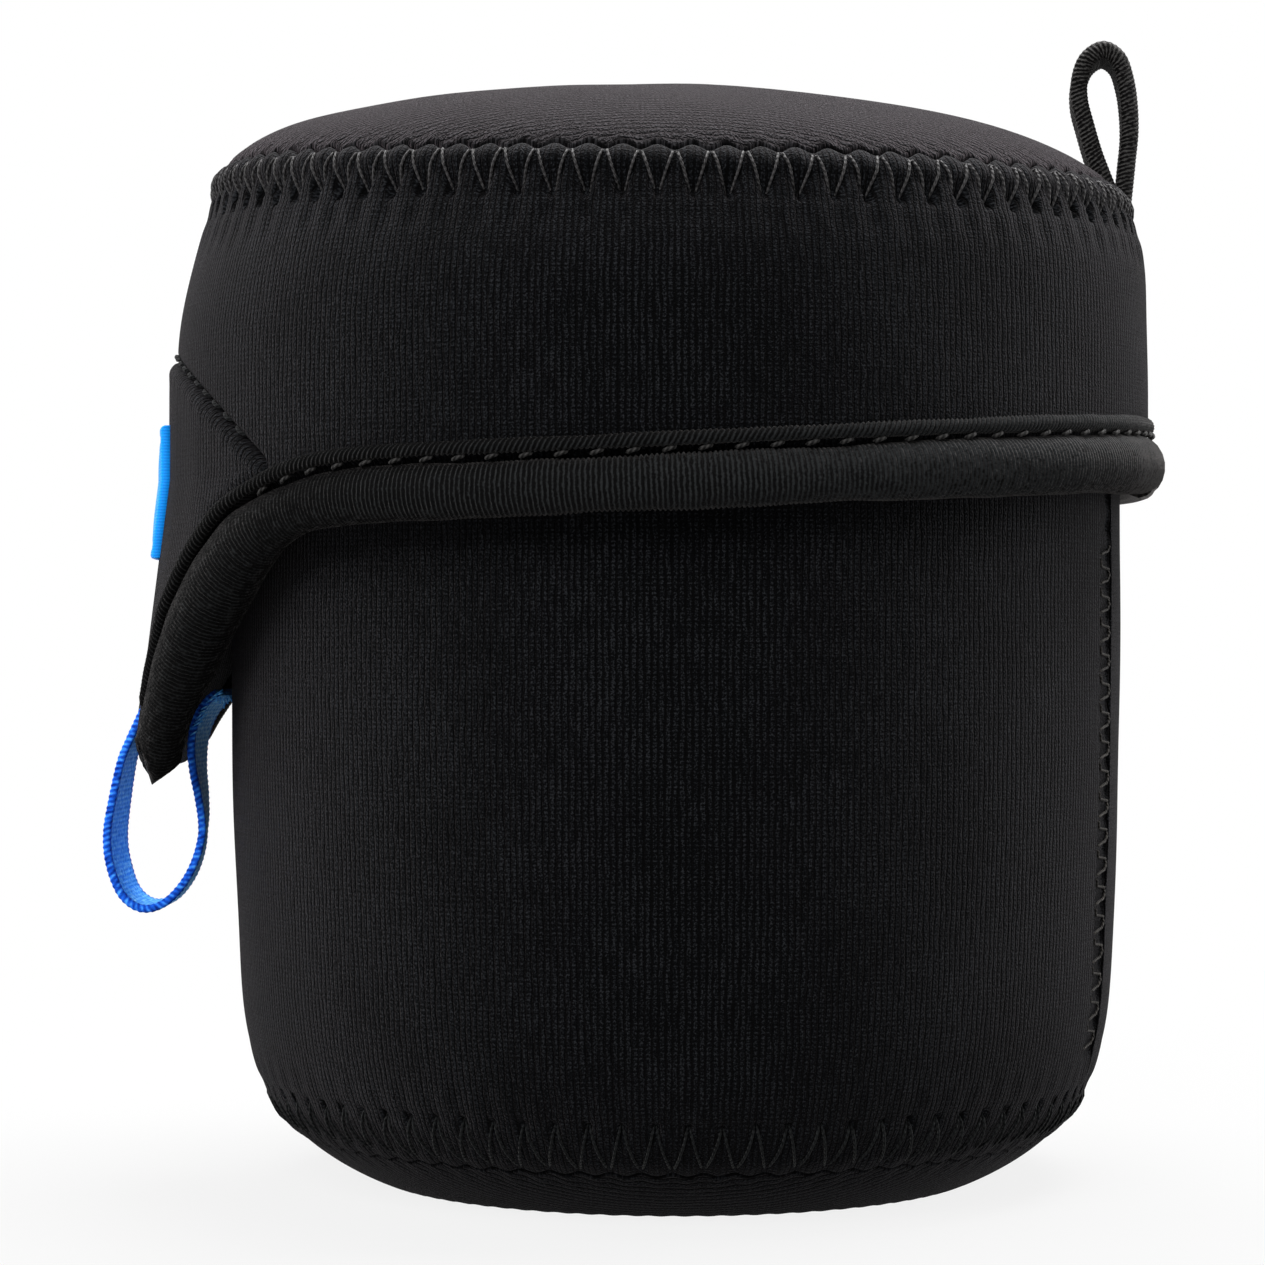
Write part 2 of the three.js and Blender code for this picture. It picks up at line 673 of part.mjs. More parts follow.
// Hanging loop on the lid's rear seam: a standing tear of webbing on a sewn root.
const makeHangingLoop = () => {
  const rootZ = lidSeamHeight + lidStitchReach + threadRun + 2 * seat;
  const rootX = lidX + dome(0, Math.asin((rootZ - lidSeamHeight) / domeRise))[0];
  const pivot = hangRootDepth + seat + hangRibbonThickness;
  const place = (geometry) =>
    geometry
      .rotateX(Math.PI / 2)
      .translate(0, hangRibbonWidth / 2, 0)
      .translate(rootX, 0, rootZ + pivot);
  const topRadius = hangLoopSpan / 2;
  const topHeight = hangLoopHeight - pivot - topRadius;
  const outline = tearOutline(new THREE.Shape(), hangRibbonThickness, 0, topRadius, topHeight);
  const gapRadius = topRadius - hangRibbonThickness;
  const gap = tearOutline(new THREE.Path(), seat, 2 * hangRibbonThickness, gapRadius, topHeight);
  outline.holes.push(gap);
  const options = { depth: hangRibbonWidth, bevelEnabled: false, curveSegments: 8, steps: 1 };
  const loop = new THREE.ExtrudeGeometry(outline, options).rotateZ(hangLoopLean * degrees);
  add("hanging_loop", place(loop), blackWebbing);

  const half = hangRibbonThickness + seat;
  const block = new THREE.BoxGeometry(2 * half, hangRibbonWidth, hangRootDepth + seat);
  block.translate(rootX, 0, rootZ + (hangRootDepth - seat) / 2);
  const cover = [
    [0, 0],
    [lidRadius, 0],
    ...steps(0, Math.PI / 2, 2 * arcSteps).map((t) => dome(-seat, t)),
  ];
  const root = toSolid(block).subtract(toSolid(turned(cover, lidX)));
  add("hanging_loop_root", toGeometry(root), blackWebbing);
};

// Cloth hinge: one leaf on the mouth, the other wrapped under the hem roll.
const makeHinge = () => {
  const halfAngle = hingeHalfWidth / neckRadius;
  const angles = steps(Math.PI - halfAngle, Math.PI + halfAngle, stripSteps);
  const rearHem = hemHeight(Math.PI * lidRadius);
  const wrapInside = lidX + rollMiddle(rearHem) - rollHalfDepth - seat - tape;
  const foot = shoulderHeight + shoulderRise;
  const leaf = angles.map((angle) => {
    const r = neckRadius + seat;
    const footRadius = wrapInside - seat;
    return [
      cupPoint(angle, r + tape, hingeLeafTop),
      cupPoint(angle, r + tape, foot + 3 * tape),
      cupPoint(angle, footRadius, foot),
      cupPoint(angle, footRadius - tape, foot - tape / 2),
      cupPoint(angle, r, foot + 2 * tape),
      cupPoint(angle, r, hingeLeafTop),
    ];
  });
  add("hinge_strip_body", loft(leaf, false), bindingCloth);

  const wrapHalf = hingeHalfWidth / lidRadius;
  const lidAngles = steps(Math.PI - wrapHalf, Math.PI + wrapHalf, stripSteps);
  const reach = hingeWrapAngle / 2;
  const sweep = steps(-reach, reach, stripSteps).map((a) => (a - 90) * degrees);
  const wrap = lidAngles.map((angle) => {
    const s = (angle > Math.PI ? 2 * Math.PI - angle : angle) * lidRadius;
    const z = hemHeight(s);
    const at = (t, grow) =>
      lidPoint(
        angle,
        rollMiddle(rearHem) + (rollHalfDepth + grow) * Math.cos(t),
        z + (rollHalfHeight + grow) * Math.sin(t),
      );
    const outer = sweep.map((t) => at(t, seat + tape));
    const inner = sweep.map((t) => at(t, seat));
    return [...outer, ...inner.reverse()];
  });
  add("hinge_strip_lid", loft(wrap, false), bindingCloth);
};

makeCup();
makeCupSeams();
makeLidShell();
makeTongue();
makeHem();
makeLabel();
makePullLoop();
makeHangingLoop();
makeHinge();

export default rootGroup;
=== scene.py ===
import math

import bmesh
import bpy
import numpy as np
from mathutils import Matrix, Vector


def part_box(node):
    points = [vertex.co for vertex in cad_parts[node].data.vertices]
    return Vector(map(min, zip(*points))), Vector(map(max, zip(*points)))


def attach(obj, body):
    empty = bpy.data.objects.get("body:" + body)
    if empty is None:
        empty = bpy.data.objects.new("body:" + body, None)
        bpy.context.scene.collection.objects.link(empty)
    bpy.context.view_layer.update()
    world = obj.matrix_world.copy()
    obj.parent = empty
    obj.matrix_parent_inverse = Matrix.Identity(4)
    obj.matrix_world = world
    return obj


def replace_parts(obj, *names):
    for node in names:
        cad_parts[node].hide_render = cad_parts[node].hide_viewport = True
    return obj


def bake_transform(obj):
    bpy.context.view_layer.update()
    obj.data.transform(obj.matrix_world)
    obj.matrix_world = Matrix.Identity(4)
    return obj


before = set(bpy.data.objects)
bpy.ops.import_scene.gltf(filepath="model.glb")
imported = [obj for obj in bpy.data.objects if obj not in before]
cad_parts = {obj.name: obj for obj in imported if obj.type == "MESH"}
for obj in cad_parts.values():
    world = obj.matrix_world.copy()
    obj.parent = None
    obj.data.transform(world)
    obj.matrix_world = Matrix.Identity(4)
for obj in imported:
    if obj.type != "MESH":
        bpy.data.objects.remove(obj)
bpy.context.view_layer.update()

# Sizes are in millimetres here and become metres when a mesh is made
metre = 0.001
fullTurn = 2 * math.pi


def boxOf(node):
    low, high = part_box(node)
    return np.array(low) / metre, np.array(high) / metre


# Small shaping functions, for numbers and arrays alike

def mix(a, b, t):
    return a + (b - a) * t


def ease(t):
    t = np.clip(t, 0, 1)
    return t * t * (3 - 2 * t)


def bell(x, width):
    return np.exp(-((x / width) ** 2))


def edgeDip(away, radius):  # how far a rounded edge falls, given the distance from the edge
    away = np.clip(away, 0, radius)
    return np.sqrt(np.clip(radius ** 2 - (radius - away) ** 2, 0, None)) - radius


def drift(a, b, size):  # slow unevenness of soft cloth
    waves = [(1.0, 2.0, 0.11, 0.4), (0.7, 3.0, -0.17, 2.1), (0.5, 5.0, 0.23, 4.0), (0.35, 9.0, 0.31, 1.3)]
    return size * sum(g * np.sin(k * a + m * b + c) for g, k, m, c in waves)


# Mesh making

def spread(*parts):  # brings the parts of a grid to one size and stacks them as coordinates
    return np.stack(np.broadcast_arrays(*parts), -1)


def finishPiece(name, points, faces, uvs, material):
    mesh = bpy.data.meshes.new(name)
    mesh.from_pydata((np.asarray(points) * metre).tolist(), [], faces)
    layer = mesh.uv_layers.new(name="cloth")  # cloth coordinates in millimetres
    layer.data.foreach_set("uv", np.asarray(uvs, np.float32).ravel())
    work = bmesh.new()
    work.from_mesh(mesh)
    bmesh.ops.recalc_face_normals(work, faces=work.faces)
    for face in work.faces:
        face.smooth = True
    work.to_mesh(mesh)
    work.free()
    mesh.materials.append(material)
    piece = bpy.data.objects.new(name, mesh)
    bpy.context.scene.collection.objects.link(piece)
    return piece


class Weave:  # gathers points, faces and cloth coordinates of one piece
    def __init__(self):
        self.points = np.zeros((0, 3))
        self.faces = []
        self.uvs = []

    def addPoints(self, points):
        first = len(self.points)
        self.points = np.vstack([self.points, np.asarray(points, float).reshape(-1, 3)])
        return first

    def addGrid(self, grid, uv, ring):
        rows, cols = grid.shape[:2]
        first = self.addPoints(grid)
        row, col = np.meshgrid(np.arange(rows - 1), np.arange(cols if ring else cols - 1), indexing="ij")
        corners = ((0, 0), (0, 1), (1, 1), (1, 0))
        rowOf = np.stack([row + a for a, b in corners], -1).reshape(-1, 4)
        colOf = np.stack([col + b for a, b in corners], -1).reshape(-1, 4)
        self.faces += (first + rowOf * cols + colOf % cols).tolist()
        self.uvs += uv[rowOf, colOf].reshape(-1, 2).tolist()
        return first + np.arange(rows * cols).reshape(rows, cols)

    def addStrip(self, one, other, uv):  # joins two rings of points
        count = len(one)
        for i in range(count):
            j = (i + 1) % count
            self.faces.append([one[i], one[j], other[j], other[i]])
            self.uvs += [uv[i], uv[i + 1], uv[i + 1], uv[i]]

    def addFan(self, row, uv, centre, centreUv):
        middle = self.addPoints([centre])
        count = len(row)
        for i in range(count):
            self.faces.append([row[i], row[(i + 1) % count], middle])
            self.uvs += [uv[i], uv[i + 1], centreUv]

    def closeEnds(self, ids, grid, uv, ends=(0, -1)):  # a fan over the first and the last row
        for end in ends:
            self.addFan(ids[end], uv[end].tolist(), grid[end].mean(0), uv[end].mean(0).tolist())

    def make(self, name, material):
        return finishPiece(name, self.points, self.faces, self.uvs, material)


def closeUv(uv, across):  # repeats a ring's first column, one turn further on
    last = uv[:, :1] + np.array([across, 0])
    return np.concatenate([uv, last], 1)


def planeUv(grid):
    flat = grid[..., 1::-1]  # the wales run from tongue to hinge
    return np.concatenate([flat, flat[:, :1]], 1)


def ringShell(name, outer, inner, uv, innerUv, material, capped=False):
    weave = Weave()
    out = weave.addGrid(outer, uv, True)
    back = weave.addGrid(inner, innerUv, True)
    weave.addStrip(out[0], back[0], uv[0].tolist())
    if capped:
        weave.closeEnds(out, outer, uv, [-1])
        weave.closeEnds(back, inner, innerUv, [-1])
    else:
        weave.addStrip(out[-1], back[-1], uv[-1].tolist())
    return weave.make(name, material)


def patchShell(name, outer, inner, uv, material):
    weave = Weave()
    out = weave.addGrid(outer, uv, False)
    back = weave.addGrid(inner, uv, False)

    def border(grid):
        return np.concatenate([grid[0, :-1], grid[:-1, -1], grid[-1, :0:-1], grid[:0:-1, 0]])

    edgeUv = border(uv)
    weave.addStrip(border(out), border(back), np.vstack([edgeUv, edgeUv[:1]]).tolist())
    return weave.make(name, material)


def addSweep(weave, sections, run, girth, closed):
    turn = np.linspace(0, 1, sections.shape[1] + 1) * girth
    uv = spread(run[:, None], turn)
    ids = weave.addGrid(sections, uv, True)
    if closed:
        weave.addStrip(ids[-1], ids[0], uv[-1].tolist())
    else:
        weave.closeEnds(ids, sections, uv)


def ringTurns(sides):
    return (np.arange(sides) + 0.5) / sides * fullTurn


def pathRun(path):
    steps = np.linalg.norm(np.diff(path, axis=0), axis=1)
    return np.concatenate([[0], np.cumsum(steps)])


def alongPath(path):  # unit steps along a path
    ahead = np.gradient(path, axis=0)
    return ahead / np.linalg.norm(ahead, axis=1, keepdims=True)


def squareTo(path):  # unit steps square to a flat path
    ahead = alongPath(path)
    return np.stack([-ahead[:, 1], ahead[:, 0]], -1)


def tubeSections(path, radius, sides, closed=False):
    path = np.asarray(path, float)
    if closed:
        ahead = np.roll(path, -1, 0) - np.roll(path, 1, 0)
        ahead /= np.linalg.norm(ahead, axis=1, keepdims=True)
    else:
        ahead = alongPath(path)
    side = np.cross(ahead[0], [0.31, 0.17, 0.93])  # any direction that no thread starts along
    carried = []
    for step in ahead:
        side = side - step * np.dot(side, step)
        side /= np.linalg.norm(side)
        carried.append(side.copy())
    side = np.array(carried)
    other = np.cross(ahead, side)
    turn = np.arange(sides) * fullTurn / sides
    radius = np.broadcast_to(np.asarray(radius, float), (len(path),))[:, None, None]
    ring = np.cos(turn)[None, :, None] * side[:, None] + np.sin(turn)[None, :, None] * other[:, None]
    return path[:, None] + radius * ring


def addThread(weave, path, radius, sides=6, closed=False):
    sections = tubeSections(path, radius, sides, closed)
    addSweep(weave, sections, pathRun(np.asarray(path)), fullTurn * radius, closed)


def addDash(weave, path, radius):  # one stitch with sunk, rounded ends
    path = np.asarray(path, float)
    t = np.linspace(0, 1, len(path))
    fat = radius * np.sqrt(np.clip(1 - (2 * t - 1) ** 8, 0.03, 1))
    addSweep(weave, tubeSections(path, fat, 6), pathRun(path), fullTurn * radius, False)


# Materials

def addNode(tree, kind, inputs, **settings):  # an input is a value, or a socket to link
    node = tree.nodes.new(kind)
    for key, value in settings.items():
        setattr(node, key, value)
    for key, value in inputs.items():
        if isinstance(value, bpy.types.NodeSocket):
            tree.links.new(value, node.inputs[key])
        else:
            node.inputs[key].default_value = value
    return node


class Finish:  # one procedural material with short calls for its nodes
    def __init__(self, name):
        self.material = bpy.data.materials.new(name)
        self.material.use_nodes = True
        self.tree = self.material.node_tree
        self.shader = self.tree.nodes["Principled BSDF"]
        self.coords = self.add("ShaderNodeUVMap", {}, uv_map="cloth").outputs[0]
        split = self.add("ShaderNodeSeparateXYZ", {0: self.coords})
        self.u, self.v = split.outputs[0], split.outputs[1]

    def add(self, kind, inputs, **settings):
        return addNode(self.tree, kind, inputs, **settings)

    def math(self, operation, *values):
        return self.add("ShaderNodeMath", dict(enumerate(values)), operation=operation).outputs[0]

    def layer(self, value, share, base):  # lays a share of one value over another
        return self.math("MULTIPLY_ADD", value, share, base)

    def wave(self, value, pitch):  # 0 to 1 and back over one pitch
        angle = self.math("MULTIPLY", value, fullTurn / pitch)
        return self.layer(self.math("COSINE", angle), 0.5, 0.5)

    def noise(self, size, detail, stretch=1.0):  # stretch draws it out along v
        coords = self.coords
        if stretch != 1.0:
            squeeze = {0: coords, 1: (1, 1 / stretch, 1)}
            coords = self.add("ShaderNodeVectorMath", squeeze, operation="MULTIPLY").outputs[0]
        inputs = {"Vector": coords, "Scale": 1 / size, "Detail": detail}
        return self.add("ShaderNodeTexNoise", inputs).outputs["Fac"]

    def uneven(self, size, detail, stretch=1.0):  # noise about zero
        return self.math("SUBTRACT", self.noise(size, detail, stretch), 0.5)

    def ramp(self, value, stops):
        node = self.add("ShaderNodeValToRGB", {0: value})
        marks = node.color_ramp.elements
        while len(marks) < len(stops):
            marks.new(0.5)
        for mark, (place, colour) in zip(marks, stops):
            mark.position = place
            mark.color = (*colour, 1)
        return node.outputs[0]

    def colour(self, socket):
        self.tree.links.new(socket, self.shader.inputs["Base Color"])

    def bump(self, height, depth):
        node = self.add("ShaderNodeBump", {"Strength": 1.0, "Distance": depth * metre, "Height": height})
        self.tree.links.new(node.outputs[0], self.shader.inputs["Normal"])

    def cloth(self, roughness, sheen, tint, sheenRoughness, specular):
        self.shader.inputs["Roughness"].default_value = roughness
        self.shader.inputs["Specular IOR Level"].default_value = specular
        self.shader.inputs["Sheen Weight"].default_value = sheen
        self.shader.inputs["Sheen Roughness"].default_value = sheenRoughness
        self.shader.inputs["Sheen Tint"].default_value = (*tint, 1)
        return self.material


knitLook = dict(
    wale=0.66, course=0.5, lean=0.35, wander=0.55, wanderSize=1.3, legGap=-0.15, round=0.62, loop=0.17,
    body=0.72, depth=0.16, streak=0.42, streakShare=0.4, patch=12.0, patchShare=0.25, roughness=0.85,
)


def makeKnit(name, dark, middle, light, sheen, tint, grain, grit):
    f = Finish(name)
    u = f.layer(f.uneven(knitLook["wanderSize"], 2.0, 2.5), knitLook["wander"], f.u)
    column = f.math("ABSOLUTE", f.math("SINE", f.math("MULTIPLY", u, math.pi / knitLook["wale"])))
    lean = f.math("MULTIPLY", column, knitLook["lean"] * knitLook["course"])
    loops = f.wave(f.math("ADD", f.v, lean), knitLook["course"])
    parted = f.math("MULTIPLY", f.math("POWER", column, 14.0), knitLook["legGap"])  # two legs of a stitch
    bar = f.math("ADD", f.math("POWER", column, knitLook["round"]), parted)
    height = f.math("MULTIPLY", bar, f.layer(loops, knitLook["loop"], knitLook["body"]))
    height = f.layer(f.uneven(grain, 1.0), grit, height)
    toneAndGrooveShade = f.layer(f.uneven(knitLook["patch"], 5.0), knitLook["patchShare"], height)
    toneAndGrooveShade = f.layer(f.uneven(knitLook["streak"], 1.0, 6.0), knitLook["streakShare"], toneAndGrooveShade)
    # Painted shade: the colour follows the bump height, so the grooves between wales and the split between
    # stitch legs are painted darker. The patches and streaks laid over it are random tone.
    f.colour(f.ramp(toneAndGrooveShade, [(0.4, dark), (0.68, middle), (1.0, light)]))
    f.bump(height, knitLook["depth"])
    return f.cloth(knitLook["roughness"], sheen, tint, 0.4, 0.03)


tapeLook = dict(stray=0.35, straySize=0.9, fuzz=0.24, cloud=1.6, cloudShare=0.6, tint=(0.62, 0.58, 0.57))


def makeRibTape(name, dark, light, pitch, slant, depth, sheen, grit):
    f = Finish(name)
    stray = f.math("MULTIPLY", f.noise(tapeLook["straySize"], 2.0), tapeLook["stray"])
    ribs = f.wave(f.math("ADD", stray, f.layer(f.v, slant, f.u)), pitch)
    height = f.layer(f.uneven(tapeLook["fuzz"], 1.0), grit, ribs)
    toneAndGrooveShade = f.layer(f.uneven(tapeLook["cloud"], 3.0), tapeLook["cloudShare"], height)
    # Painted shade: the colour follows the rib height, darker in the valleys between ribs and strands. The
    # clouds are random tone.
    f.colour(f.ramp(toneAndGrooveShade, [(0.38, dark), (0.97, light)]))
    f.bump(height, depth)
    return f.cloth(0.75, sheen, tapeLook["tint"], 0.4, 0.05)


pileLook = dict(nap=0.55, napShare=0.7, shade=9.0, shadeShare=0.4, depth=0.25)


def makePile(name, dark, light):
    f = Finish(name)
    nap = f.noise(pileLook["nap"], 5.0)
    shade = f.noise(pileLook["shade"], 3.0)
    height = f.layer(shade, pileLook["shadeShare"], f.math("MULTIPLY", nap, pileLook["napShare"]))
    f.colour(f.ramp(height, [(0.35, dark), (0.75, light)]))
    f.bump(nap, pileLook["depth"])
    return f.cloth(0.95, 0.3, (0.55, 0.53, 0.54), 0.6, 0.05)


yarnLook = dict(ply=0.55, slant=0.9, plyShare=0.4, broken=1.1, brokenShare=0.9, depth=0.06)


def makeYarn(name, dark, light, specular):
    f = Finish(name)
    ply = f.wave(f.layer(f.v, yarnLook["slant"], f.u), yarnLook["ply"])
    broken = f.noise(yarnLook["broken"], 2.0)
    height = f.layer(broken, yarnLook["brokenShare"], f.math("MULTIPLY", ply, yarnLook["plyShare"]))
    f.colour(f.ramp(height, [(0.35, dark), (0.95, light)]))
    f.bump(ply, yarnLook["depth"])
    return f.cloth(0.6, 0.06, (0.7, 0.68, 0.66), 0.4, specular)


ribbonLook = dict(
    rib=0.5, ribShare=0.14, warp=0.34, warpShare=0.16, mottle=0.6, mottleShare=1.1, hatch=0.6, width=10.0,
    selvage=0.7, depth=0.1,
)


def makeRibbonBlue(name):
    f = Finish(name)
    weft = f.math("MULTIPLY", f.wave(f.u, ribbonLook["rib"]), ribbonLook["ribShare"])
    woven = f.layer(f.wave(f.v, ribbonLook["warp"]), ribbonLook["warpShare"], weft)
    mottle = f.noise(ribbonLook["mottle"], 4.0)
    face = f.layer(f.math("SUBTRACT", mottle, 0.5), ribbonLook["mottleShare"], f.math("ADD", woven, 0.5))
    faceColour = f.ramp(face, [
        (0.3, (0.012, 0.12, 0.5)),
        (0.6, (0.05, 0.35, 0.93)),
        (0.9, (0.32, 0.74, 1.0)),
    ])
    hatch = f.wave(f.layer(f.v, 0.8, f.u), ribbonLook["hatch"])
    hatchColour = f.ramp(f.layer(mottle, ribbonLook["mottleShare"], f.math("MULTIPLY", hatch, 0.25)), [
        (0.46, (0.003, 0.025, 0.24)),
        (0.72, (0.01, 0.11, 0.7)),
        (0.98, (0.07, 0.36, 0.98)),
    ])
    edge = f.math("GREATER_THAN", f.math("ABSOLUTE", f.v), ribbonLook["width"] / 2 - ribbonLook["selvage"])
    both = f.add("ShaderNodeMix", {0: edge, 6: faceColour, 7: hatchColour}, data_type="RGBA")
    f.colour(both.outputs[2])
    f.bump(f.layer(hatch, 0.3, face), ribbonLook["depth"])
    return f.cloth(0.7, 0.02, (0.3, 0.6, 1.0), 0.4, 0.04)


labelLook = dict(weft=0.32, weftShare=0.4, warp=0.41, warpShare=0.25, cloud=2.2, cloudShare=0.5, depth=0.05)


def makeLabelBlue(name):
    f = Finish(name)
    weft = f.math("MULTIPLY", f.wave(f.v, labelLook["weft"]), labelLook["weftShare"])
    woven = f.layer(f.wave(f.u, labelLook["warp"]), labelLook["warpShare"], weft)
    height = f.layer(f.noise(labelLook["cloud"], 3.0), labelLook["cloudShare"], woven)
    f.colour(f.ramp(height, [(0.2, (0.002, 0.18, 0.66)), (0.9, (0.006, 0.31, 0.93))]))
    f.bump(height, labelLook["depth"])
    return f.cloth(0.5, 0.03, (0.5, 0.75, 1.0), 0.4, 0.1)


pipingTwist = dict(rib=0.55, turns=4, girth=5.0)  # strands of the corded piping
pipingSlant = pipingTwist["turns"] * pipingTwist["rib"] / pipingTwist["girth"]
# Painted shade: the near-black that the colour ramps give to the grooves between wales and between strands.
grooveShadeBlack = (0.0001, 0.0001, 0.0002)  # the dark between wales and between strands

knitCloth = makeKnit(
    "knitCloth", grooveShadeBlack, (0.0014, 0.0016, 0.002), (0.0155, 0.0166, 0.0188), sheen=0.068,
    tint=(0.62, 0.57, 0.6), grain=0.19, grit=1.3,
)
# Painted light: the lid top is a lighter copy of the same knit, with more sheen and a stronger mauve sheen
# tint, so that the top reads as lit from above.
litDomeCloth = makeKnit(
    "litDomeCloth", grooveShadeBlack, (0.0026, 0.0026, 0.0029), (0.0165, 0.0162, 0.0178), sheen=0.1,
    tint=(0.7, 0.58, 0.64), grain=0.25, grit=2.4,
)
rollTape = makeRibTape(
    "rollTape", (0.0002, 0.0002, 0.0003), (0.0142, 0.0154, 0.0161), pitch=0.5, slant=0.0, depth=0.1,
    sheen=0.14, grit=1.3,
)
pipingTape = makeRibTape(
    "pipingTape", grooveShadeBlack, (0.0112, 0.0122, 0.0128), pitch=pipingTwist["rib"], slant=pipingSlant,
    depth=0.08, sheen=0.12, grit=1.2,
)
bindingTape = makeRibTape(
    "bindingTape", (0.002, 0.0019, 0.0018), (0.017, 0.0155, 0.014), pitch=0.6, slant=0.0, depth=0.08,
    sheen=0.25, grit=0.9,
)
webbingCloth = makeRibTape(
    "webbingCloth", (0.0008, 0.0008, 0.0008), (0.043, 0.0412, 0.0402), pitch=0.45, slant=0.6, depth=0.1,
    sheen=0.08, grit=2.4,
)
pileLining = makePile("pileLining", (0.004, 0.004, 0.0045), (0.02, 0.02, 0.0212))
seamYarn = makeYarn("seamYarn", (0.003, 0.003, 0.0031), (0.05, 0.048, 0.049), 0.08)
darkYarn = makeYarn("darkYarn", (0.0008, 0.0009, 0.001), (0.0115, 0.0125, 0.013), 0.04)
rearYarn = makeYarn("rearYarn", (0.001, 0.001, 0.001), (0.03, 0.027, 0.024), 0.04)
hemYarn = makeYarn("hemYarn", (0.003, 0.003, 0.003), (0.045, 0.0437, 0.0425), 0.05)
blueRibbon = makeRibbonBlue("blueRibbon")
blueLabel = makeLabelBlue("blueLabel")
print("finishes ready")


# Cup and lid surfaces. A course is a profile with its running length; zero is at the round seam
# and positive lengths lead on to the capping panel.

cupHigh = boxOf("body_wall")[1]
domeLow, domeHigh = boxOf("lid_top_panel")
cup = dict(
    radius=cupHigh[1], rim=cupHigh[2], neck=44.9, shoulder=73.5, flat=32.0, cornerHeight=26.75,
    cornerFullness=3.95, cornerRound=1.09, seam=7.8, tuck=1.4, tuckTop=53.0, tuckReach=38.0, sheet=2.6,
)
lid = dict(
    x=(domeLow[0] + domeHigh[0]) / 2, radius=51.6, seam=domeLow[2], foot=60.0, sheet=2.6, bulge=0.35,
    taper=2.85, taperFrom=84.0, taperPower=2.6, rise=12.5, fullness=2.35, round=1.77, tilt=1.05,
    droop=0.85, lean=1.1, leanHeight=100.6, leanReach=7.0,
)
lid["topRadius"] = lid["radius"] + lid["bulge"] - lid["taper"]
straightSteps = 300  # points on the straight part of a course
cornerSteps = 400
wallSteps = 690  # points of the cup's course down to its foot


def courseOf(radius, height, seamIndex, outward, place):
    run = np.concatenate([[0], np.cumsum(np.hypot(np.diff(radius), np.diff(height)))])
    return dict(run=run - run[seamIndex], radius=radius, height=height, outward=outward, place=place)


def cupPlace(angle, radius, height):  # angles run from the tongue towards the near side
    x = -radius * np.cos(angle)
    y = -radius * np.sin(angle)
    return spread(x, y, height)


def lidPlace(angle, radius, height):
    return cupPlace(angle, radius, height) + np.array([lid["x"], 0, 0])


def lidOuter(height):
    up = np.clip((height - lid["taperFrom"]) / (lid["seam"] - lid["taperFrom"]), 0, 1)
    return lid["radius"] + lid["bulge"] - lid["taper"] * up ** lid["taperPower"]


def slackLidPlace(angle, radius, height):  # the empty lid leans back and its top tilts and droops
    share = radius / lid["topRadius"]
    front = np.cos(angle) * share
    lean = lid["lean"] * bell(height - lid["leanHeight"], lid["leanReach"])
    loose = 1 / (1 + np.exp((lid["seam"] - 6 - height) / 2))
    sink = lid["tilt"] * front + lid["droop"] * np.cos(2 * angle) * share ** 2
    return lidPlace(angle, radius - lean * front, height + loose * sink)


def cupWallRadius(height):
    tuck = cup["tuck"] * np.clip((cup["tuckTop"] - height) / cup["tuckReach"], 0, 1) ** 2
    below = np.clip(1 - height / cup["cornerHeight"], 0, 1)
    share = (1 - below ** cup["cornerFullness"]) ** (1 / cup["cornerRound"])
    return mix(cup["flat"], cup["radius"] - tuck, share)


def makeCupCourse():
    upper = np.linspace(cup["rim"], cup["cornerHeight"], straightSteps)
    neckShare = ease((upper - cup["shoulder"]) / 4)
    lower = cup["cornerHeight"] * (1 - np.linspace(0, 1, cornerSteps)[1:]) ** 2.2
    bottomRadius = np.linspace(cup["flat"], 0, 60)[1:]
    upperRadius = mix(cupWallRadius(upper), cup["neck"], neckShare)
    radius = np.concatenate([upperRadius, cupWallRadius(lower), bottomRadius])
    height = np.concatenate([upper, lower, bottomRadius * 0])
    seamIndex = int(np.argmin(np.abs(height[:wallSteps] - cup["seam"])))
    return courseOf(radius, height, seamIndex, -1, cupPlace)


def makeLidCourse():
    bandHeight = np.linspace(lid["foot"], lid["seam"], straightSteps)
    u = np.sin(np.linspace(math.pi / 2, 0, cornerSteps))[1:]
    domeHeight = lid["seam"] + lid["rise"] * (1 - u ** lid["fullness"]) ** (1 / lid["round"])
    radius = np.concatenate([lidOuter(bandHeight), lid["topRadius"] * u])
    height = np.concatenate([bandHeight, domeHeight])
    return courseOf(radius, height, len(bandHeight) - 1, 1, slackLidPlace)


def onCourse(course, d, angle, lift):  # points at running length d, lifted off the cloth
    radius = np.interp(d, course["run"], course["radius"])
    height = np.interp(d, course["run"], course["height"])
    nudge = 0.4
    goRadius, goHeight = (
        np.interp(d + nudge, course["run"], course[k]) - np.interp(d - nudge, course["run"], course[k])
        for k in ("radius", "height")
    )
    length = np.maximum(np.hypot(goRadius, goHeight), 1e-6)
    sign = course["outward"]
    radius = radius + sign * goHeight / length * lift
    height = height - sign * goRadius / length * lift
    return course["place"](angle, radius, height)


cupCourse = makeCupCourse()
lidCourse = makeLidCourse()


def cupRunAt(height):
    return np.interp(-height, -cupCourse["height"][:wallSteps], cupCourse["run"][:wallSteps])


def bandRunAt(height):
    return np.interp(height, lidCourse["height"][:straightSteps], lidCourse["run"][:straightSteps])


# Zigzag seams: holes on the wall's side, a scalloped edge on the capping side

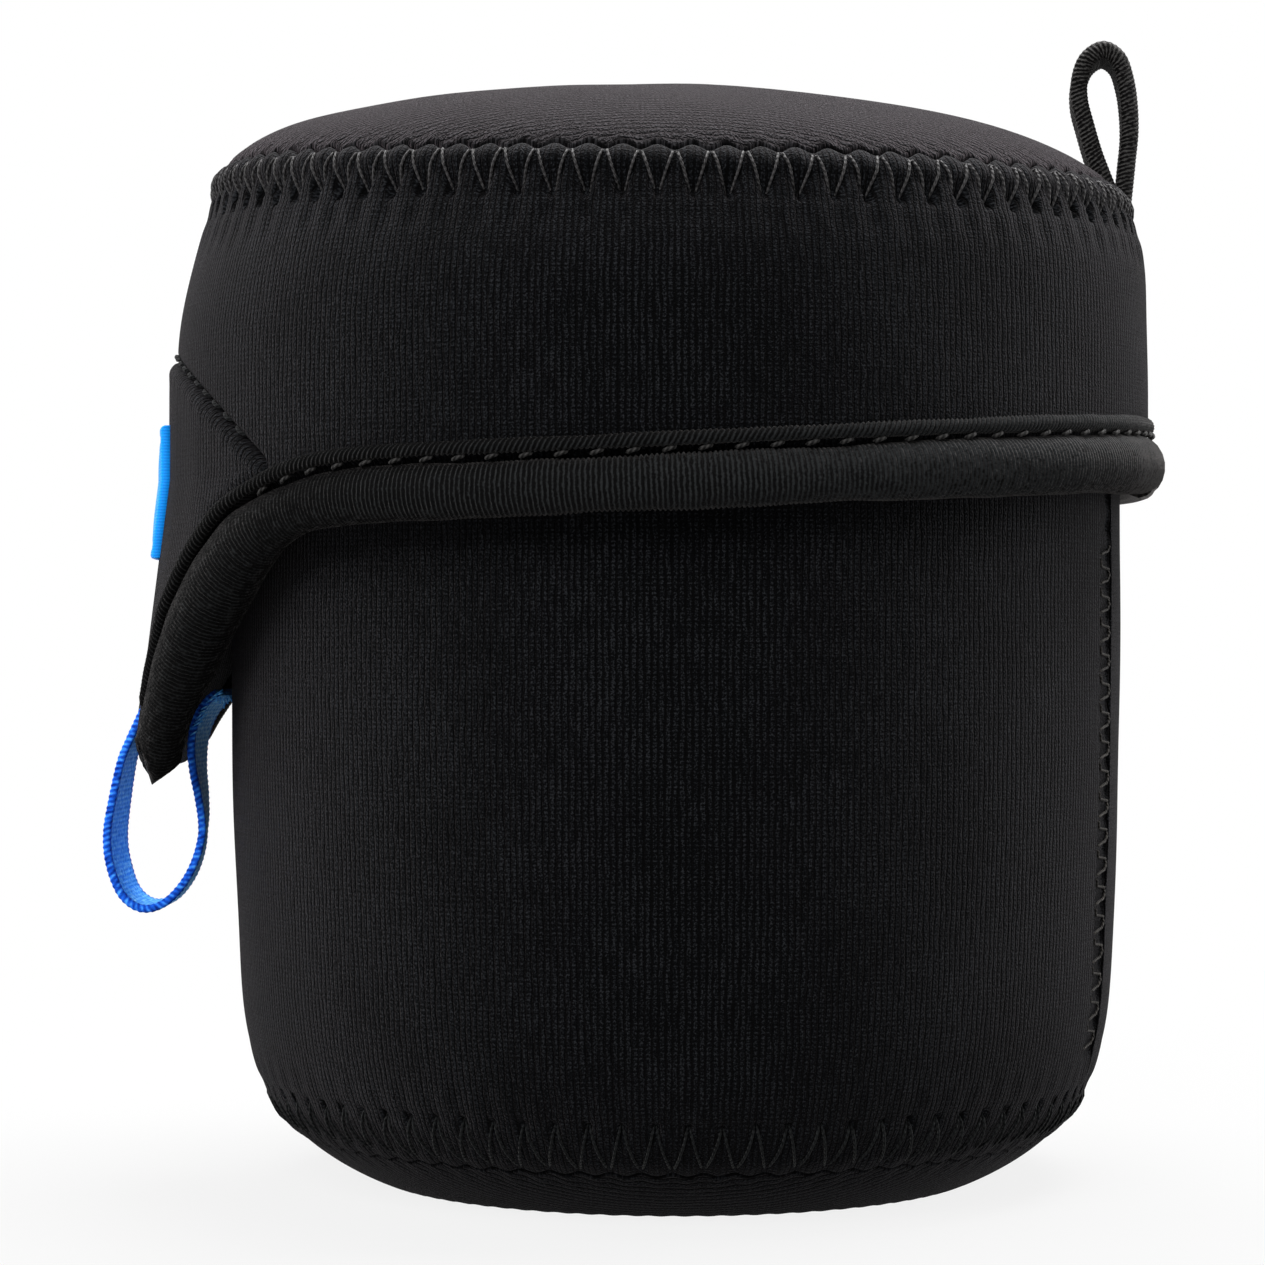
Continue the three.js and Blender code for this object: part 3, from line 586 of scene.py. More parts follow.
seamLook = dict(
    pit=1.1, vee=0.34, pitFade=2.6, gutter=0.12, hump=0.4, fold=0.24, uneven=0.3, thread=0.14, stray=0.2,
    sink=0.55, sinkReach=0.07, bury=0.32, bow=0.14, bowStray=0.08,
)
lidSeam = dict(
    around=lid["topRadius"], reach=2.6, pitch=3.4, relief=1.0, pitTop=0.6, edge=0.75, scallop=0.75,
    buried="hole",
)
baseSeam = dict(
    around=44.5, reach=3.1, pitch=3.3, relief=0.6, pitTop=-0.9, edge=0.3, scallop=0.5, buried="edge",
)
for seam in (lidSeam, baseSeam):
    seam["count"] = round(fullTurn * seam["around"] / seam["pitch"])
rearSeam = dict(
    reach=2.2, pitch=3.0, turn=21.4, depth=0.5, lip=0.25, low=15.0, high=cup["shoulder"] - 5.0, sink=0.4,
    lift=0.05, fine=6.0, fineColumns=60,
)
rearAngle = math.pi - math.radians(rearSeam["turn"])


def scatter(number, seed):  # uneven hand of the sewer, from -1 to 1, the same on each run
    return 2 * np.mod(np.sin(number * 12.9898 + seed * 78.233) * 43758.5453, 1) - 1


def edgeLine(phase, seam):
    return seam["reach"] + seam["scallop"] * (0.5 - 0.5 * np.cos(phase))


def wallRelief(d, phase, seam):
    aside = np.abs(np.mod(phase, fullTurn) - math.pi) / math.pi  # 0 at a hole, 1 between two
    reach = seam["reach"]
    uneven = seam["relief"] * (1 + seamLook["uneven"] * scatter(np.floor(phase / fullTurn), 1))
    lift = edgeDip(edgeLine(phase, seam) - d, seam["edge"])
    lift = lift + seamLook["hump"] * uneven * ease(1 - aside) * bell(d - reach + 1.2, 1.2)
    apart = (d + reach) / (2 * reach)  # the two threads part this far above their hole
    pit = ease((apart + seamLook["vee"] - aside) / seamLook["vee"]) * ease((d + reach + 0.6) / 0.8)
    pit = pit * ease((seam["pitTop"] - d) / seamLook["pitFade"])
    lift = lift - seamLook["pit"] * uneven * pit
    lift = lift - seamLook["gutter"] * bell(d + reach, 0.9)
    return lift - seamLook["fold"] * uneven * ease(1 - aside) * bell(d + reach + 1.9, 1.7)


def capRelief(d, phase, seam):
    past = d - edgeLine(phase, seam)
    drawn = seamLook["fold"] * (0.5 + 0.5 * np.cos(phase)) * bell(past - 0.8, 1.6)
    return edgeDip(past, seam["edge"]) - seam["relief"] * drawn


def zigzagPath(seam, course):  # legs down from the scalloped edge to a hole and up again
    t = np.linspace(0, 1, 8)[:-1]
    path = []
    for leg in range(seam["count"] * 2):
        down = leg % 2 == 0
        share = t if down else 1 - t
        top = seam["reach"] - 0.05 + seamLook["stray"] * scatter((leg + 1) // 2, 2)
        low = -seam["reach"] + seamLook["stray"] * scatter(leg // 2, 3)
        d = mix(top, low, share)
        phase = math.pi * (leg + t)
        atEnds = bell(share, seamLook["sinkReach"]) + bell(1 - share, seamLook["sinkReach"])
        sunk = seamLook["sink"] * atEnds
        fromBuried = 1 - share if seam["buried"] == "hole" else share
        sunk = sunk + seamLook["bury"] * ease((0.45 - fromBuried) / 0.35)
        bow = (seamLook["bow"] + seamLook["bowStray"] * scatter(leg, 4)) * np.sin(math.pi * t)
        lift = wallRelief(d, phase, seam) + seamLook["thread"] + bow - sunk
        path.append(onCourse(course, d, phase / seam["count"], lift))
    return np.concatenate(path)


def stitchColumns(seam, perStitch):
    count = seam["count"] * perStitch
    return np.arange(count) * fullTurn / count


# Rear closing seam of the cup wall, a little to the near side of the hinge

def rearRelief(angle, height):  # a butt joint held open by its stitches
    across = np.abs(angle - rearAngle) * cup["radius"]
    groove = ease((rearSeam["reach"] + rearSeam["lip"] - across) / (2 * rearSeam["lip"]))
    pinch = 1 + 0.25 * np.cos(fullTurn * height / rearSeam["pitch"])
    ends = ease((cup["rim"] - 8 - height) / 4) * ease((height - cup["seam"] - 3) / 5)
    return -rearSeam["depth"] * groove * pinch * ends


# Cup

wallLook = dict(perStitch=9, rows=100, fineRows=44, innerRows=14, split=-9.0, sway=0.05)


def makeCupWall():
    angle = stitchColumns(baseSeam, wallLook["perStitch"])
    fine = np.linspace(-1, 1, rearSeam["fineColumns"]) * rearSeam["fine"]  # closer columns at the rear seam
    angle = np.unique(np.concatenate([angle, rearAngle + fine / cup["radius"]]))
    phase = baseSeam["count"] * angle
    top = cupCourse["run"][0]
    fraction = np.linspace(0, 1, wallLook["fineRows"])[:, None]
    rough = np.linspace(top, wallLook["split"], wallLook["rows"], endpoint=False)[:, None] + 0 * angle
    near = mix(wallLook["split"], edgeLine(phase, baseSeam), fraction)
    d = np.vstack([rough, near])
    height = np.interp(d, cupCourse["run"], cupCourse["height"])
    lift = wallRelief(d, phase, baseSeam) + rearRelief(angle, height)
    lift = lift + drift(angle, height, wallLook["sway"]) * ease((cup["shoulder"] - height) / 12)
    outer = onCourse(cupCourse, d, angle, lift)
    innerD = np.linspace(top, 0, wallLook["innerRows"])[:, None] + 0 * angle
    innerD[-1] = d[-1]
    inner = onCourse(cupCourse, innerD, angle, -cup["sheet"])
    around = cup["radius"] * angle
    uv = spread(around, d)
    innerUv = spread(around, innerD)
    girth = fullTurn * cup["radius"]
    wall = ringShell("cupWall", outer, inner, closeUv(uv, girth), closeUv(innerUv, girth), knitCloth)
    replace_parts(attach(wall, "pouch"), "body_wall")


baseLook = dict(rows=34, perStitch=9, bare=1.5)


def makeCupBase():
    angle = stitchColumns(baseSeam, baseLook["perStitch"])
    phase = baseSeam["count"] * angle
    end = cupCourse["run"][-1] - baseLook["bare"]
    fraction = np.linspace(0, 1, baseLook["rows"])[:, None] ** 1.8
    d = mix(edgeLine(phase, baseSeam), end, fraction)
    lift = capRelief(d, phase, baseSeam) * ease((end - 8 - d) / 10)
    outer = onCourse(cupCourse, d, angle, lift)
    outer[..., 2] = np.maximum(outer[..., 2], 0)
    inner = onCourse(cupCourse, d, angle, -cup["sheet"])
    base = ringShell("cupBase", outer, inner, planeUv(outer), planeUv(inner), knitCloth, capped=True)
    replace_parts(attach(base, "pouch"), "bottom_panel")


liningLook = dict(
    thickness=0.6, gap=0.3, overlap=0.6, columns=180, rows=60, sway=0.08, lidSway=0.06, lidRows=24,
)
bindingLook = dict(
    tape=0.62, depth=4.5, columns=720, sides=26, leg=0.36, rib=0.6, ripple=0.05, sway=0.12, girth=14,
)


def makeCupLining():
    angle = np.arange(liningLook["columns"]) * fullTurn / liningLook["columns"]
    top = cupRunAt(cup["rim"] - bindingLook["depth"] + liningLook["overlap"])
    end = cupCourse["run"][-1] - baseLook["bare"]
    d = np.linspace(top, end, liningLook["rows"])[:, None] + 0 * angle
    face = cup["sheet"] + liningLook["gap"]
    ripple = drift(3 * angle, d, liningLook["sway"])
    outer = onCourse(cupCourse, d, angle, -face)
    inner = onCourse(cupCourse, d, angle, -face - liningLook["thickness"] + ripple)
    around = cup["radius"] * angle
    uv = closeUv(spread(around, d), fullTurn * cup["radius"])
    cloth = ringShell("cupLining", outer, inner, uv, uv, pileLining, capped=True)
    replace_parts(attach(cloth, "pouch"), "body_lining")


def makeMouthBinding():
    angle = np.arange(bindingLook["columns"]) * fullTurn / bindingLook["columns"]
    half = cup["sheet"] / 2 + liningLook["gap"]
    middle = cup["neck"] - cup["sheet"] / 2
    depth = bindingLook["depth"]
    t = np.linspace(0, 1, bindingLook["sides"])
    legShare = bindingLook["leg"]

    def profile(reach):  # an upturned U over the rim
        turn = math.pi * np.clip((t - legShare) / (1 - 2 * legShare), 0, 1)
        across = reach * np.cos(turn)
        rise = np.where(t < legShare, -depth * (1 - t / legShare), reach * 0.62 * np.sin(turn))
        rise = np.where(t > 1 - legShare, -depth * (t - 1 + legShare) / legShare, rise)
        return across, rise

    outerAcross, outerRise = profile(half + bindingLook["tape"])
    innerAcross, innerRise = profile(half)
    ribs = bindingLook["ripple"] * np.cos(angle * middle * fullTurn / bindingLook["rib"])[:, None]
    wobble = drift(4 * angle, 0 * angle, bindingLook["sway"])[:, None]
    turn = angle[:, None]
    outer = cupPlace(turn, middle + outerAcross * (1 + ribs / half), cup["rim"] + outerRise + wobble)
    inner = cupPlace(turn, middle + innerAcross, cup["rim"] + innerRise)
    outer, inner = outer.transpose(1, 0, 2), inner.transpose(1, 0, 2)
    uv = closeUv(spread(angle * middle, t[:, None] * bindingLook["girth"]), fullTurn * middle)
    tape = ringShell("mouthBinding", outer, inner, uv, uv, bindingTape)
    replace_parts(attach(tape, "pouch"), "mouth_binding")


def makeCupThreads():
    weave = Weave()
    path = zigzagPath(baseSeam, cupCourse)
    addThread(weave, path, seamLook["thread"], closed=True)
    thread = weave.make("baseSeamThread", darkYarn)
    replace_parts(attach(thread, "pouch"), "bottom_seam_thread")

    weave = Weave()
    reach = rearSeam["reach"]
    t = np.linspace(0, 1, 9)
    path = []
    for leg in range(int((rearSeam["high"] - rearSeam["low"]) / rearSeam["pitch"] * 2)):
        across = mix(-reach, reach, t if leg % 2 else 1 - t)[:-1]
        climb = 0.35 * t[:-1] + 0.65 * ease((t[:-1] - 0.75) / 0.25)
        height = rearSeam["low"] + (leg + climb) * rearSeam["pitch"] / 2
        deep = rearSeam["depth"] * (0.85 if leg % 2 else 0.5) * (1 - (across / reach) ** 2)
        sink = rearSeam["sink"] * bell(np.abs(across) - reach, 0.3)
        angle = rearAngle - across / cup["radius"]
        path.append(onCourse(cupCourse, cupRunAt(height), angle, rearSeam["lift"] - deep - sink))
    addThread(weave, np.concatenate(path), seamLook["thread"])
    thread = weave.make("rearSeamThread", rearYarn)
    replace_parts(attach(thread, "pouch"), "rear_seam_thread")


makeCupWall()
makeCupBase()
makeCupLining()
makeMouthBinding()
makeCupThreads()
print("cup sewn")


# Hem line on the unrolled lid: distance from the tongue's middle, then height

hem = dict(
    level=71.4, rise=4.25, riseStart=57.0, rootHalf=36.0, turn=4.5, tipHalf=8.0, rollHalf=2.62,
    rearHalf=0.3, rollDepth=1.95, rearDepth=0.35, tipDepth=2.75, inset=0.15, piping=0.62, rearPiping=0.2,
    pipingGap=0.8, tongueGap=-0.8, rearGap=0.4, pipingSink=0.55, rearSink=0.7, rearFrom=72.4,
    rearReach=3.0, fold=58.0, tipTop=57.0, tipReach=8.0, tipDrop=-0.2, tipSlim=0.42,
)
swell = dict(height=61.0, reach=9.5, half=1.05, depth=0.85, rise=0.9)  # the roll's fattest stretch
tongue = dict(
    proud=1.3, flare=0.125, flareTop=74.0, sheet=3.0, facing=2.3, gap=0.3, apex=87.5, archHalf=37.5,
    columns=150, rows=64, plump=1.5, pucker=0.05, puckerPitch=2.7, sway=0.1, slim=1.0, press=0.45,
    pressHalf=5.8, pressTop=54.2,
)
tongueDepth = tongue["sheet"] + tongue["gap"] + tongue["facing"]
rear = lid["radius"] * math.pi
riseStart = lid["radius"] * math.radians(hem["riseStart"])


def hemHeight(s):
    drop = hem["turn"] * np.log1p(np.exp((hem["rootHalf"] - s) / hem["turn"]))
    return hem["level"] - drop + hem["rise"] * ease((s - riseStart) / (rear - riseStart))


def besideHem(s, offset):
    slope = (hemHeight(s + 0.01) - hemHeight(s - 0.01)) / 0.02
    length = np.hypot(1, slope)
    return s - offset * slope / length, hemHeight(s) + offset / length


def tongueOuter(height):
    return lid["radius"] + tongue["proud"] + tongue["flare"] * np.maximum(0, tongue["flareTop"] - height)


def tongueShare(height):
    return np.clip((hem["level"] - height) / (hem["level"] - hem["fold"]), 0, 1)


def rollSwell(height):
    return bell(height - swell["height"], swell["reach"]) * ease(2.5 * tongueShare(height))


def tipShare(height):
    return ease((hem["tipTop"] - height) / hem["tipReach"])


def rearShare(height):
    return ease((height - hem["rearFrom"]) / hem["rearReach"])


def rollHalf(height):
    return hem["rollHalf"] + hem["rearHalf"] * rearShare(height) + swell["half"] * rollSwell(height)


def rollRise(height):  # the swelling goes towards the piping
    return swell["rise"] * swell["half"] * rollSwell(height)


def rollDepth(height):
    depth = mix(hem["rollDepth"], hem["tipDepth"], tongueShare(height))
    depth = depth + hem["rearDepth"] * rearShare(height)
    return depth + swell["depth"] * rollSwell(height) - hem["tipSlim"] * tipShare(height)


def rollMiddle(height):
    middle = mix(lid["radius"] - hem["inset"], tongueOuter(height) - tongueDepth / 2, tongueShare(height))
    return middle + hem["tipSlim"] * tipShare(height)


def pipingHalf(height):
    return hem["piping"] + hem["rearPiping"] * rearShare(height)


def pipingOffset(height):  # the groove beside the roll is widest on the sides
    gap = mix(hem["pipingGap"], hem["tongueGap"], tongueShare(height))
    gap = mix(gap, hem["rearGap"], rearShare(height))
    return rollRise(height) + rollHalf(height) + pipingHalf(height) + gap


def pipingMiddle(height):
    sink = hem["pipingSink"] * (1 - tongueShare(height)) + hem["rearSink"] * rearShare(height)
    return rollMiddle(height) + rollDepth(height) - pipingHalf(height) - sink


edgeAlong = np.linspace(hem["tipHalf"] / 2, rear + 6, 1200)
edgeRise = hemHeight(edgeAlong)
footS, footZ = besideHem(edgeAlong, pipingOffset(edgeRise) + pipingHalf(edgeRise) + 0.3)
pipingS, pipingZ = besideHem(edgeAlong, pipingOffset(edgeRise))
edgeS, edgeZ = besideHem(edgeAlong, 0.4 * rollHalf(edgeRise))
archFoot = np.interp(tongue["archHalf"], footS, footZ)


def archHeight(s):
    return tongue["apex"] - (tongue["apex"] - archFoot) * (s / tongue["archHalf"]) ** 2


def hemAside(angle):
    return np.abs(np.where(angle > math.pi, angle - fullTurn, angle)) * lid["radius"]


def pastArch(s):
    return ease((s - tongue["archHalf"] + 1.0) / 0.8)


def bandLow(s):  # along the arch over the tongue, then down behind the roll
    return mix(archHeight(np.minimum(s, tongue["archHalf"])), np.interp(s, edgeS, edgeZ), pastArch(s))


bandLook = dict(perStitch=10, rows=26, fineRows=34, innerRows=10, split=-7.0, edge=0.7, sway=0.09, tuck=1.0)


def makeLidBand():
    angle = stitchColumns(lidSeam, bandLook["perStitch"])
    phase = lidSeam["count"] * angle
    aside = hemAside(angle)
    low = bandRunAt(bandLow(aside))
    fraction = np.linspace(0, 1, bandLook["rows"], endpoint=False)[:, None] ** 1.3
    rough = mix(low, bandLook["split"], fraction)
    fraction = np.linspace(0, 1, bandLook["fineRows"])[:, None]
    near = mix(bandLook["split"], edgeLine(phase, lidSeam), fraction)
    d = np.vstack([rough, near])
    lift = wallRelief(d, phase, lidSeam) + edgeDip(d - low, bandLook["edge"])
    lift = lift + drift(angle, d, bandLook["sway"]) * ease((d - low) / 10)
    piped = bandRunAt(np.interp(aside, pipingS, pipingZ))  # the groove under the piping
    lift = lift - bandLook["tuck"] * ease((piped - d) / 0.8) * pastArch(aside)
    outer = onCourse(lidCourse, d, angle, lift)
    innerD = mix(low, 0, np.linspace(0, 1, bandLook["innerRows"])[:, None])
    innerD[-1] = d[-1]
    inner = onCourse(lidCourse, innerD, angle, -lid["sheet"])
    around = lid["radius"] * angle
    girth = fullTurn * lid["radius"]
    uv = closeUv(spread(around, d), girth)
    innerUv = closeUv(spread(around, innerD), girth)
    band = ringShell("lidBand", outer, inner, uv, innerUv, knitCloth)
    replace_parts(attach(band, "lid"), "lid_band")

    face = lid["sheet"] + liningLook["gap"]
    innerLift = -face - liningLook["thickness"] + drift(3 * angle, innerD, liningLook["lidSway"])
    front = onCourse(lidCourse, innerD, angle, -face)
    back = onCourse(lidCourse, innerD, angle, innerLift)
    cloth = ringShell("lidBandLining", front, back, innerUv, innerUv, pileLining)
    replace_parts(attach(cloth, "lid"), "lid_band_lining")


domeLook = dict(perStitch=10, rows=34, bare=1.2, sway=0.1)


def makeLidTop():
    angle = stitchColumns(lidSeam, domeLook["perStitch"])
    phase = lidSeam["count"] * angle
    end = lidCourse["run"][-1] - domeLook["bare"]
    fraction = np.linspace(0, 1, domeLook["rows"])[:, None] ** 1.7
    d = mix(edgeLine(phase, lidSeam), end, fraction)
    settle = ease((end - 6 - d) / 14)
    lift = (capRelief(d, phase, lidSeam) + drift(angle, d, domeLook["sway"])) * settle
    outer = onCourse(lidCourse, d, angle, lift)
    inner = onCourse(lidCourse, d, angle, -lid["sheet"])
    top = ringShell("lidTop", outer, inner, planeUv(outer), planeUv(inner), litDomeCloth, capped=True)
    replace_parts(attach(top, "lid"), "lid_top_panel")

    face = lid["sheet"] + liningLook["gap"]
    d = np.linspace(0.2, end, liningLook["lidRows"])[:, None] + 0 * angle[::4]
    front = onCourse(lidCourse, d, angle[::4], -face)
    back = onCourse(lidCourse, d, angle[::4], -face - liningLook["thickness"])
    cloth = ringShell("lidTopLining", front, back, planeUv(front), planeUv(back), pileLining, capped=True)
    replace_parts(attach(cloth, "lid"), "lid_top_lining")


def makeLidThread():
    weave = Weave()
    path = zigzagPath(lidSeam, lidCourse)
    addThread(weave, path, seamLook["thread"], closed=True)
    thread = weave.make("lidSeamThread", seamYarn)
    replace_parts(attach(thread, "lid"), "lid_top_seam_thread")


makeLidBand()
makeLidTop()
makeLidThread()
print("lid sewn")


# Tongue: one panel and one facing, from the arched seam to the tip, bending at the fold line


def tongueLow(s, alongS, alongZ):  # lower boundary of a tongue sheet on the unrolled lid
    s = np.abs(s)
    tip = hemHeight(hem["tipHalf"]) - hem["tipDrop"]
    return np.maximum(np.interp(s, alongS, alongZ), tip + 0.004 * s ** 2)


def makeTonguePanels():
    half = tongue["archHalf"] - 0.6
    s = np.linspace(-half, half, tongue["columns"])
    fraction = np.linspace(0, 1, tongue["rows"])[:, None]
    fraction = mix(fraction, ease(fraction), 0.6)
    angle = s / lid["radius"]
    high = archHeight(s) - 0.35

    def sheetBetween(alongS, alongZ):  # heights of a sheet's points, and how far its edges fall
        low = np.minimum(tongueLow(s, alongS, alongZ), high - 0.4)
        height = mix(low, high, fraction)
        return height, edgeDip(np.minimum(high - height, (height - low) * 0.8), tongue["plump"])

    height, plump = sheetBetween(pipingS, pipingZ)
    pucker = np.cos(fullTurn * s / tongue["puckerPitch"]) * bell(high - height - 1.0, 1.2)
    sway = drift(s / 12, height / 3, tongue["sway"])
    pressed = ease((tongue["pressHalf"] - np.abs(s)) / 0.8) * ease((tongue["pressTop"] - height) / 0.8)
    outerRadius = tongueOuter(height) + plump + tongue["pucker"] * pucker + sway - tongue["press"] * pressed
    outer = lidPlace(angle, outerRadius, height)
    inner = lidPlace(angle, tongueOuter(height) - tongue["sheet"] - plump * 0.4, height)
    panel = patchShell("tonguePanel", outer, inner, spread(s, height), knitCloth)
    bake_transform(panel)
    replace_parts(panel, "tongue_panel", "tongue_tip_panel")

    height, plump = sheetBetween(edgeS, edgeZ)  # the facing runs on behind the roll
    inset = tongue["sheet"] + tongue["gap"]
    outer = lidPlace(angle, tongueOuter(height) - inset, height)
    slim = tongue["slim"] * tipShare(height)
    inner = lidPlace(angle, tongueOuter(height) - tongueDepth + slim - plump * 0.5, height)
    facing = patchShell("tongueFacing", outer, inner, spread(s, height), knitCloth)
    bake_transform(facing)
    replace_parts(facing, "tongue_facing", "tongue_tip_facing")


archStitch = dict(length=1.9, pitch=2.7, radius=0.2, lift=0.05, reach=33.0)


def makeArchThread():
    weave = Weave()
    count = int(2 * archStitch["reach"] / archStitch["pitch"])
    for i in range(count + 1):
        middle = -archStitch["reach"] + i * archStitch["pitch"]
        s = middle + np.linspace(-0.5, 0.5, 7) * archStitch["length"]
        bow = np.cos(np.linspace(-1, 1, 7) * math.pi / 2) * 0.5 - 0.4
        radius = lidOuter(archHeight(s)) + archStitch["lift"] + bow
        addDash(weave, lidPlace(s / lid["radius"], radius, archHeight(s) + 0.15), archStitch["radius"])
    thread = weave.make("archSeamThread", darkYarn)
    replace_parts(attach(thread, "lid"), "tongue_seam_thread")


# Hem roll, its piping and the stitches in the groove between them

def evenHem(start, step):  # even steps along the hem from one tip, round the rear, to the other tip
    s = np.linspace(start, rear, 4000)
    run = np.concatenate([[0], np.cumsum(np.hypot(np.diff(s), np.diff(hemHeight(s))))])
    count = int(run[-1] / step)
    half = np.interp(np.linspace(0, run[-1], count + 1), run, s)
    side = np.concatenate([np.ones(count + 1), -np.ones(count)])
    distance = np.linspace(0, run[-1], count + 1)
    s = np.concatenate([half, half[-2::-1]])
    return s, side, np.concatenate([distance, 2 * run[-1] - distance[-2::-1]])


def hemSections(s, side, offset, half, depth, middle, sides, grow):
    turn = ringTurns(sides)
    height = hemHeight(s)[:, None]
    a, z = besideHem(s[:, None], offset(height) + (half(height) + grow) * np.cos(turn))
    radius = middle(height) + (depth(height) + grow) * np.sin(turn)
    return lidPlace(side[:, None] * a / lid["radius"], radius, z)


rollLook = dict(rib=0.5, samples=4, sides=20, ripple=0.12, slant=0.5, plainEnd=3.6, sway=0.07, girth=16.0)
tipEnd = dict(reach=2.6, ridge=0.59, low=41.9, outerRise=5.1, innerRise=2.4, farRise=2.2, soft=0.35)


def tipFloor(outward, side):  # the roll's end is pressed to a slanted chisel, from inner 0 to outer 1
    ridge = tipEnd["ridge"]
    rise = np.where(
        outward > ridge,
        tipEnd["outerRise"] * (outward - ridge) / (1 - ridge),
        tipEnd["innerRise"] * (ridge - outward) / ridge,
    )
    return tipEnd["low"] + rise + np.where(side < 0, tipEnd["farRise"], 0)


def makeHemRoll():
    s, side, run = evenHem(hem["tipHalf"] - tipEnd["reach"], rollLook["rib"] / rollLook["samples"])
    turn = ringTurns(rollLook["sides"])
    fromEnd = np.minimum(run, run[-1] - run)[:, None]
    slant = rollLook["slant"] * np.cos(turn)
    ribs = rollLook["ripple"] * np.cos(fullTurn * run[:, None] / rollLook["rib"] + slant)
    ribs = ribs * ease((fromEnd - rollLook["plainEnd"]) / 2)
    grow = ribs + drift(run[:, None] / 9, 2 * np.cos(turn), rollLook["sway"])
    sections = hemSections(s, side, rollRise, rollHalf, rollDepth, rollMiddle, rollLook["sides"], grow)
    floor = tipFloor(0.5 + 0.5 * np.sin(turn), side[:, None])
    above = sections[..., 2] - floor
    pressed = floor + 0.5 * (above + np.sqrt(above ** 2 + tipEnd["soft"] ** 2))
    sections[..., 0] += tongue["flare"] * (pressed - sections[..., 2])
    sections[..., 2] = pressed
    weave = Weave()
    addSweep(weave, sections, run, rollLook["girth"], False)
    roll = weave.make("hemRoll", rollTape)
    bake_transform(roll)
    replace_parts(roll, "hem_roll", "tongue_tip_roll_near", "tongue_tip_roll_far")


pipingLook = dict(samples=5, sides=20, ripple=0.12, sway=0.03, endRound=1.4, endFall=0.45, start=13.0)


def makeHemPiping():
    s, side, run = evenHem(pipingLook["start"], pipingTwist["rib"] / pipingLook["samples"])
    turn = ringTurns(pipingLook["sides"])
    twist = fullTurn * run[:, None] / pipingTwist["rib"] + pipingTwist["turns"] * turn
    fromEnd = np.minimum(run, run[-1] - run)[:, None]
    grow = pipingLook["ripple"] * np.cos(twist) + drift(run[:, None] / 6, 0, pipingLook["sway"])
    grow = grow + edgeDip(fromEnd, pipingLook["endRound"]) * pipingLook["endFall"]
    sides = pipingLook["sides"]
    sections = hemSections(s, side, pipingOffset, pipingHalf, pipingHalf, pipingMiddle, sides, grow)
    weave = Weave()
    addSweep(weave, sections, run, pipingTwist["girth"], False)
    piping = weave.make("hemPiping", pipingTape)
    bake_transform(piping)
    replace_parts(piping, "hem_piping", "tongue_tip_piping_near", "tongue_tip_piping_far")


hemStitch = dict(
    length=1.4, pitch=3.4, radius=0.21, inset=0.95, lift=0.45, bow=0.35, sink=0.3, slide=0.2, points=9,
)


def makeHemStitches():
    s, side, run = evenHem(hem["rootHalf"], 0.2)
    perDash = hemStitch["points"]
    weave = Weave()
    for start in np.arange(1.0, run[-1] - hemStitch["length"], hemStitch["pitch"]):
        along = start + np.linspace(0, 1, perDash) * hemStitch["length"]
        place = np.interp(along, run, s)
        half = np.interp(along, run, side)
        bow = hemStitch["bow"] * np.sin(np.linspace(0, math.pi, perDash)) - hemStitch["sink"]
        slide = np.linspace(-1, 1, perDash) * hemStitch["slide"]
        height = hemHeight(place)
        a, z = besideHem(place, pipingOffset(height) - hemStitch["inset"] + slide)
        radius = rollMiddle(height) + rollDepth(height) * hemStitch["lift"] + bow
        if abs(half).min() > 0.99:
            addDash(weave, lidPlace(half * a / lid["radius"], radius, z), hemStitch["radius"])
    thread = weave.make("hemStitches", hemYarn)
    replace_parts(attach(thread, "lid"), "hem_topstitch")


makeTonguePanels()
makeArchThread()
makeHemRoll()
makeHemPiping()
makeHemStitches()
print("tongue and hem sewn")


# Bare blue label on the tongue

label = dict(
    width=20.0, height=14.0, thickness=1.1, sunk=0.2, drop=7.7, edge=0.45, inset=1.4, dip=0.16,
    raised=0.18, stitch=1.5, pitch=2.1, thread=0.13, threadSink=0.32, columns=72, rows=52,
)


def labelPoint(s, height, lift):
    return lidPlace(s / lid["radius"], tongueOuter(height) - label["sunk"] + lift, height)


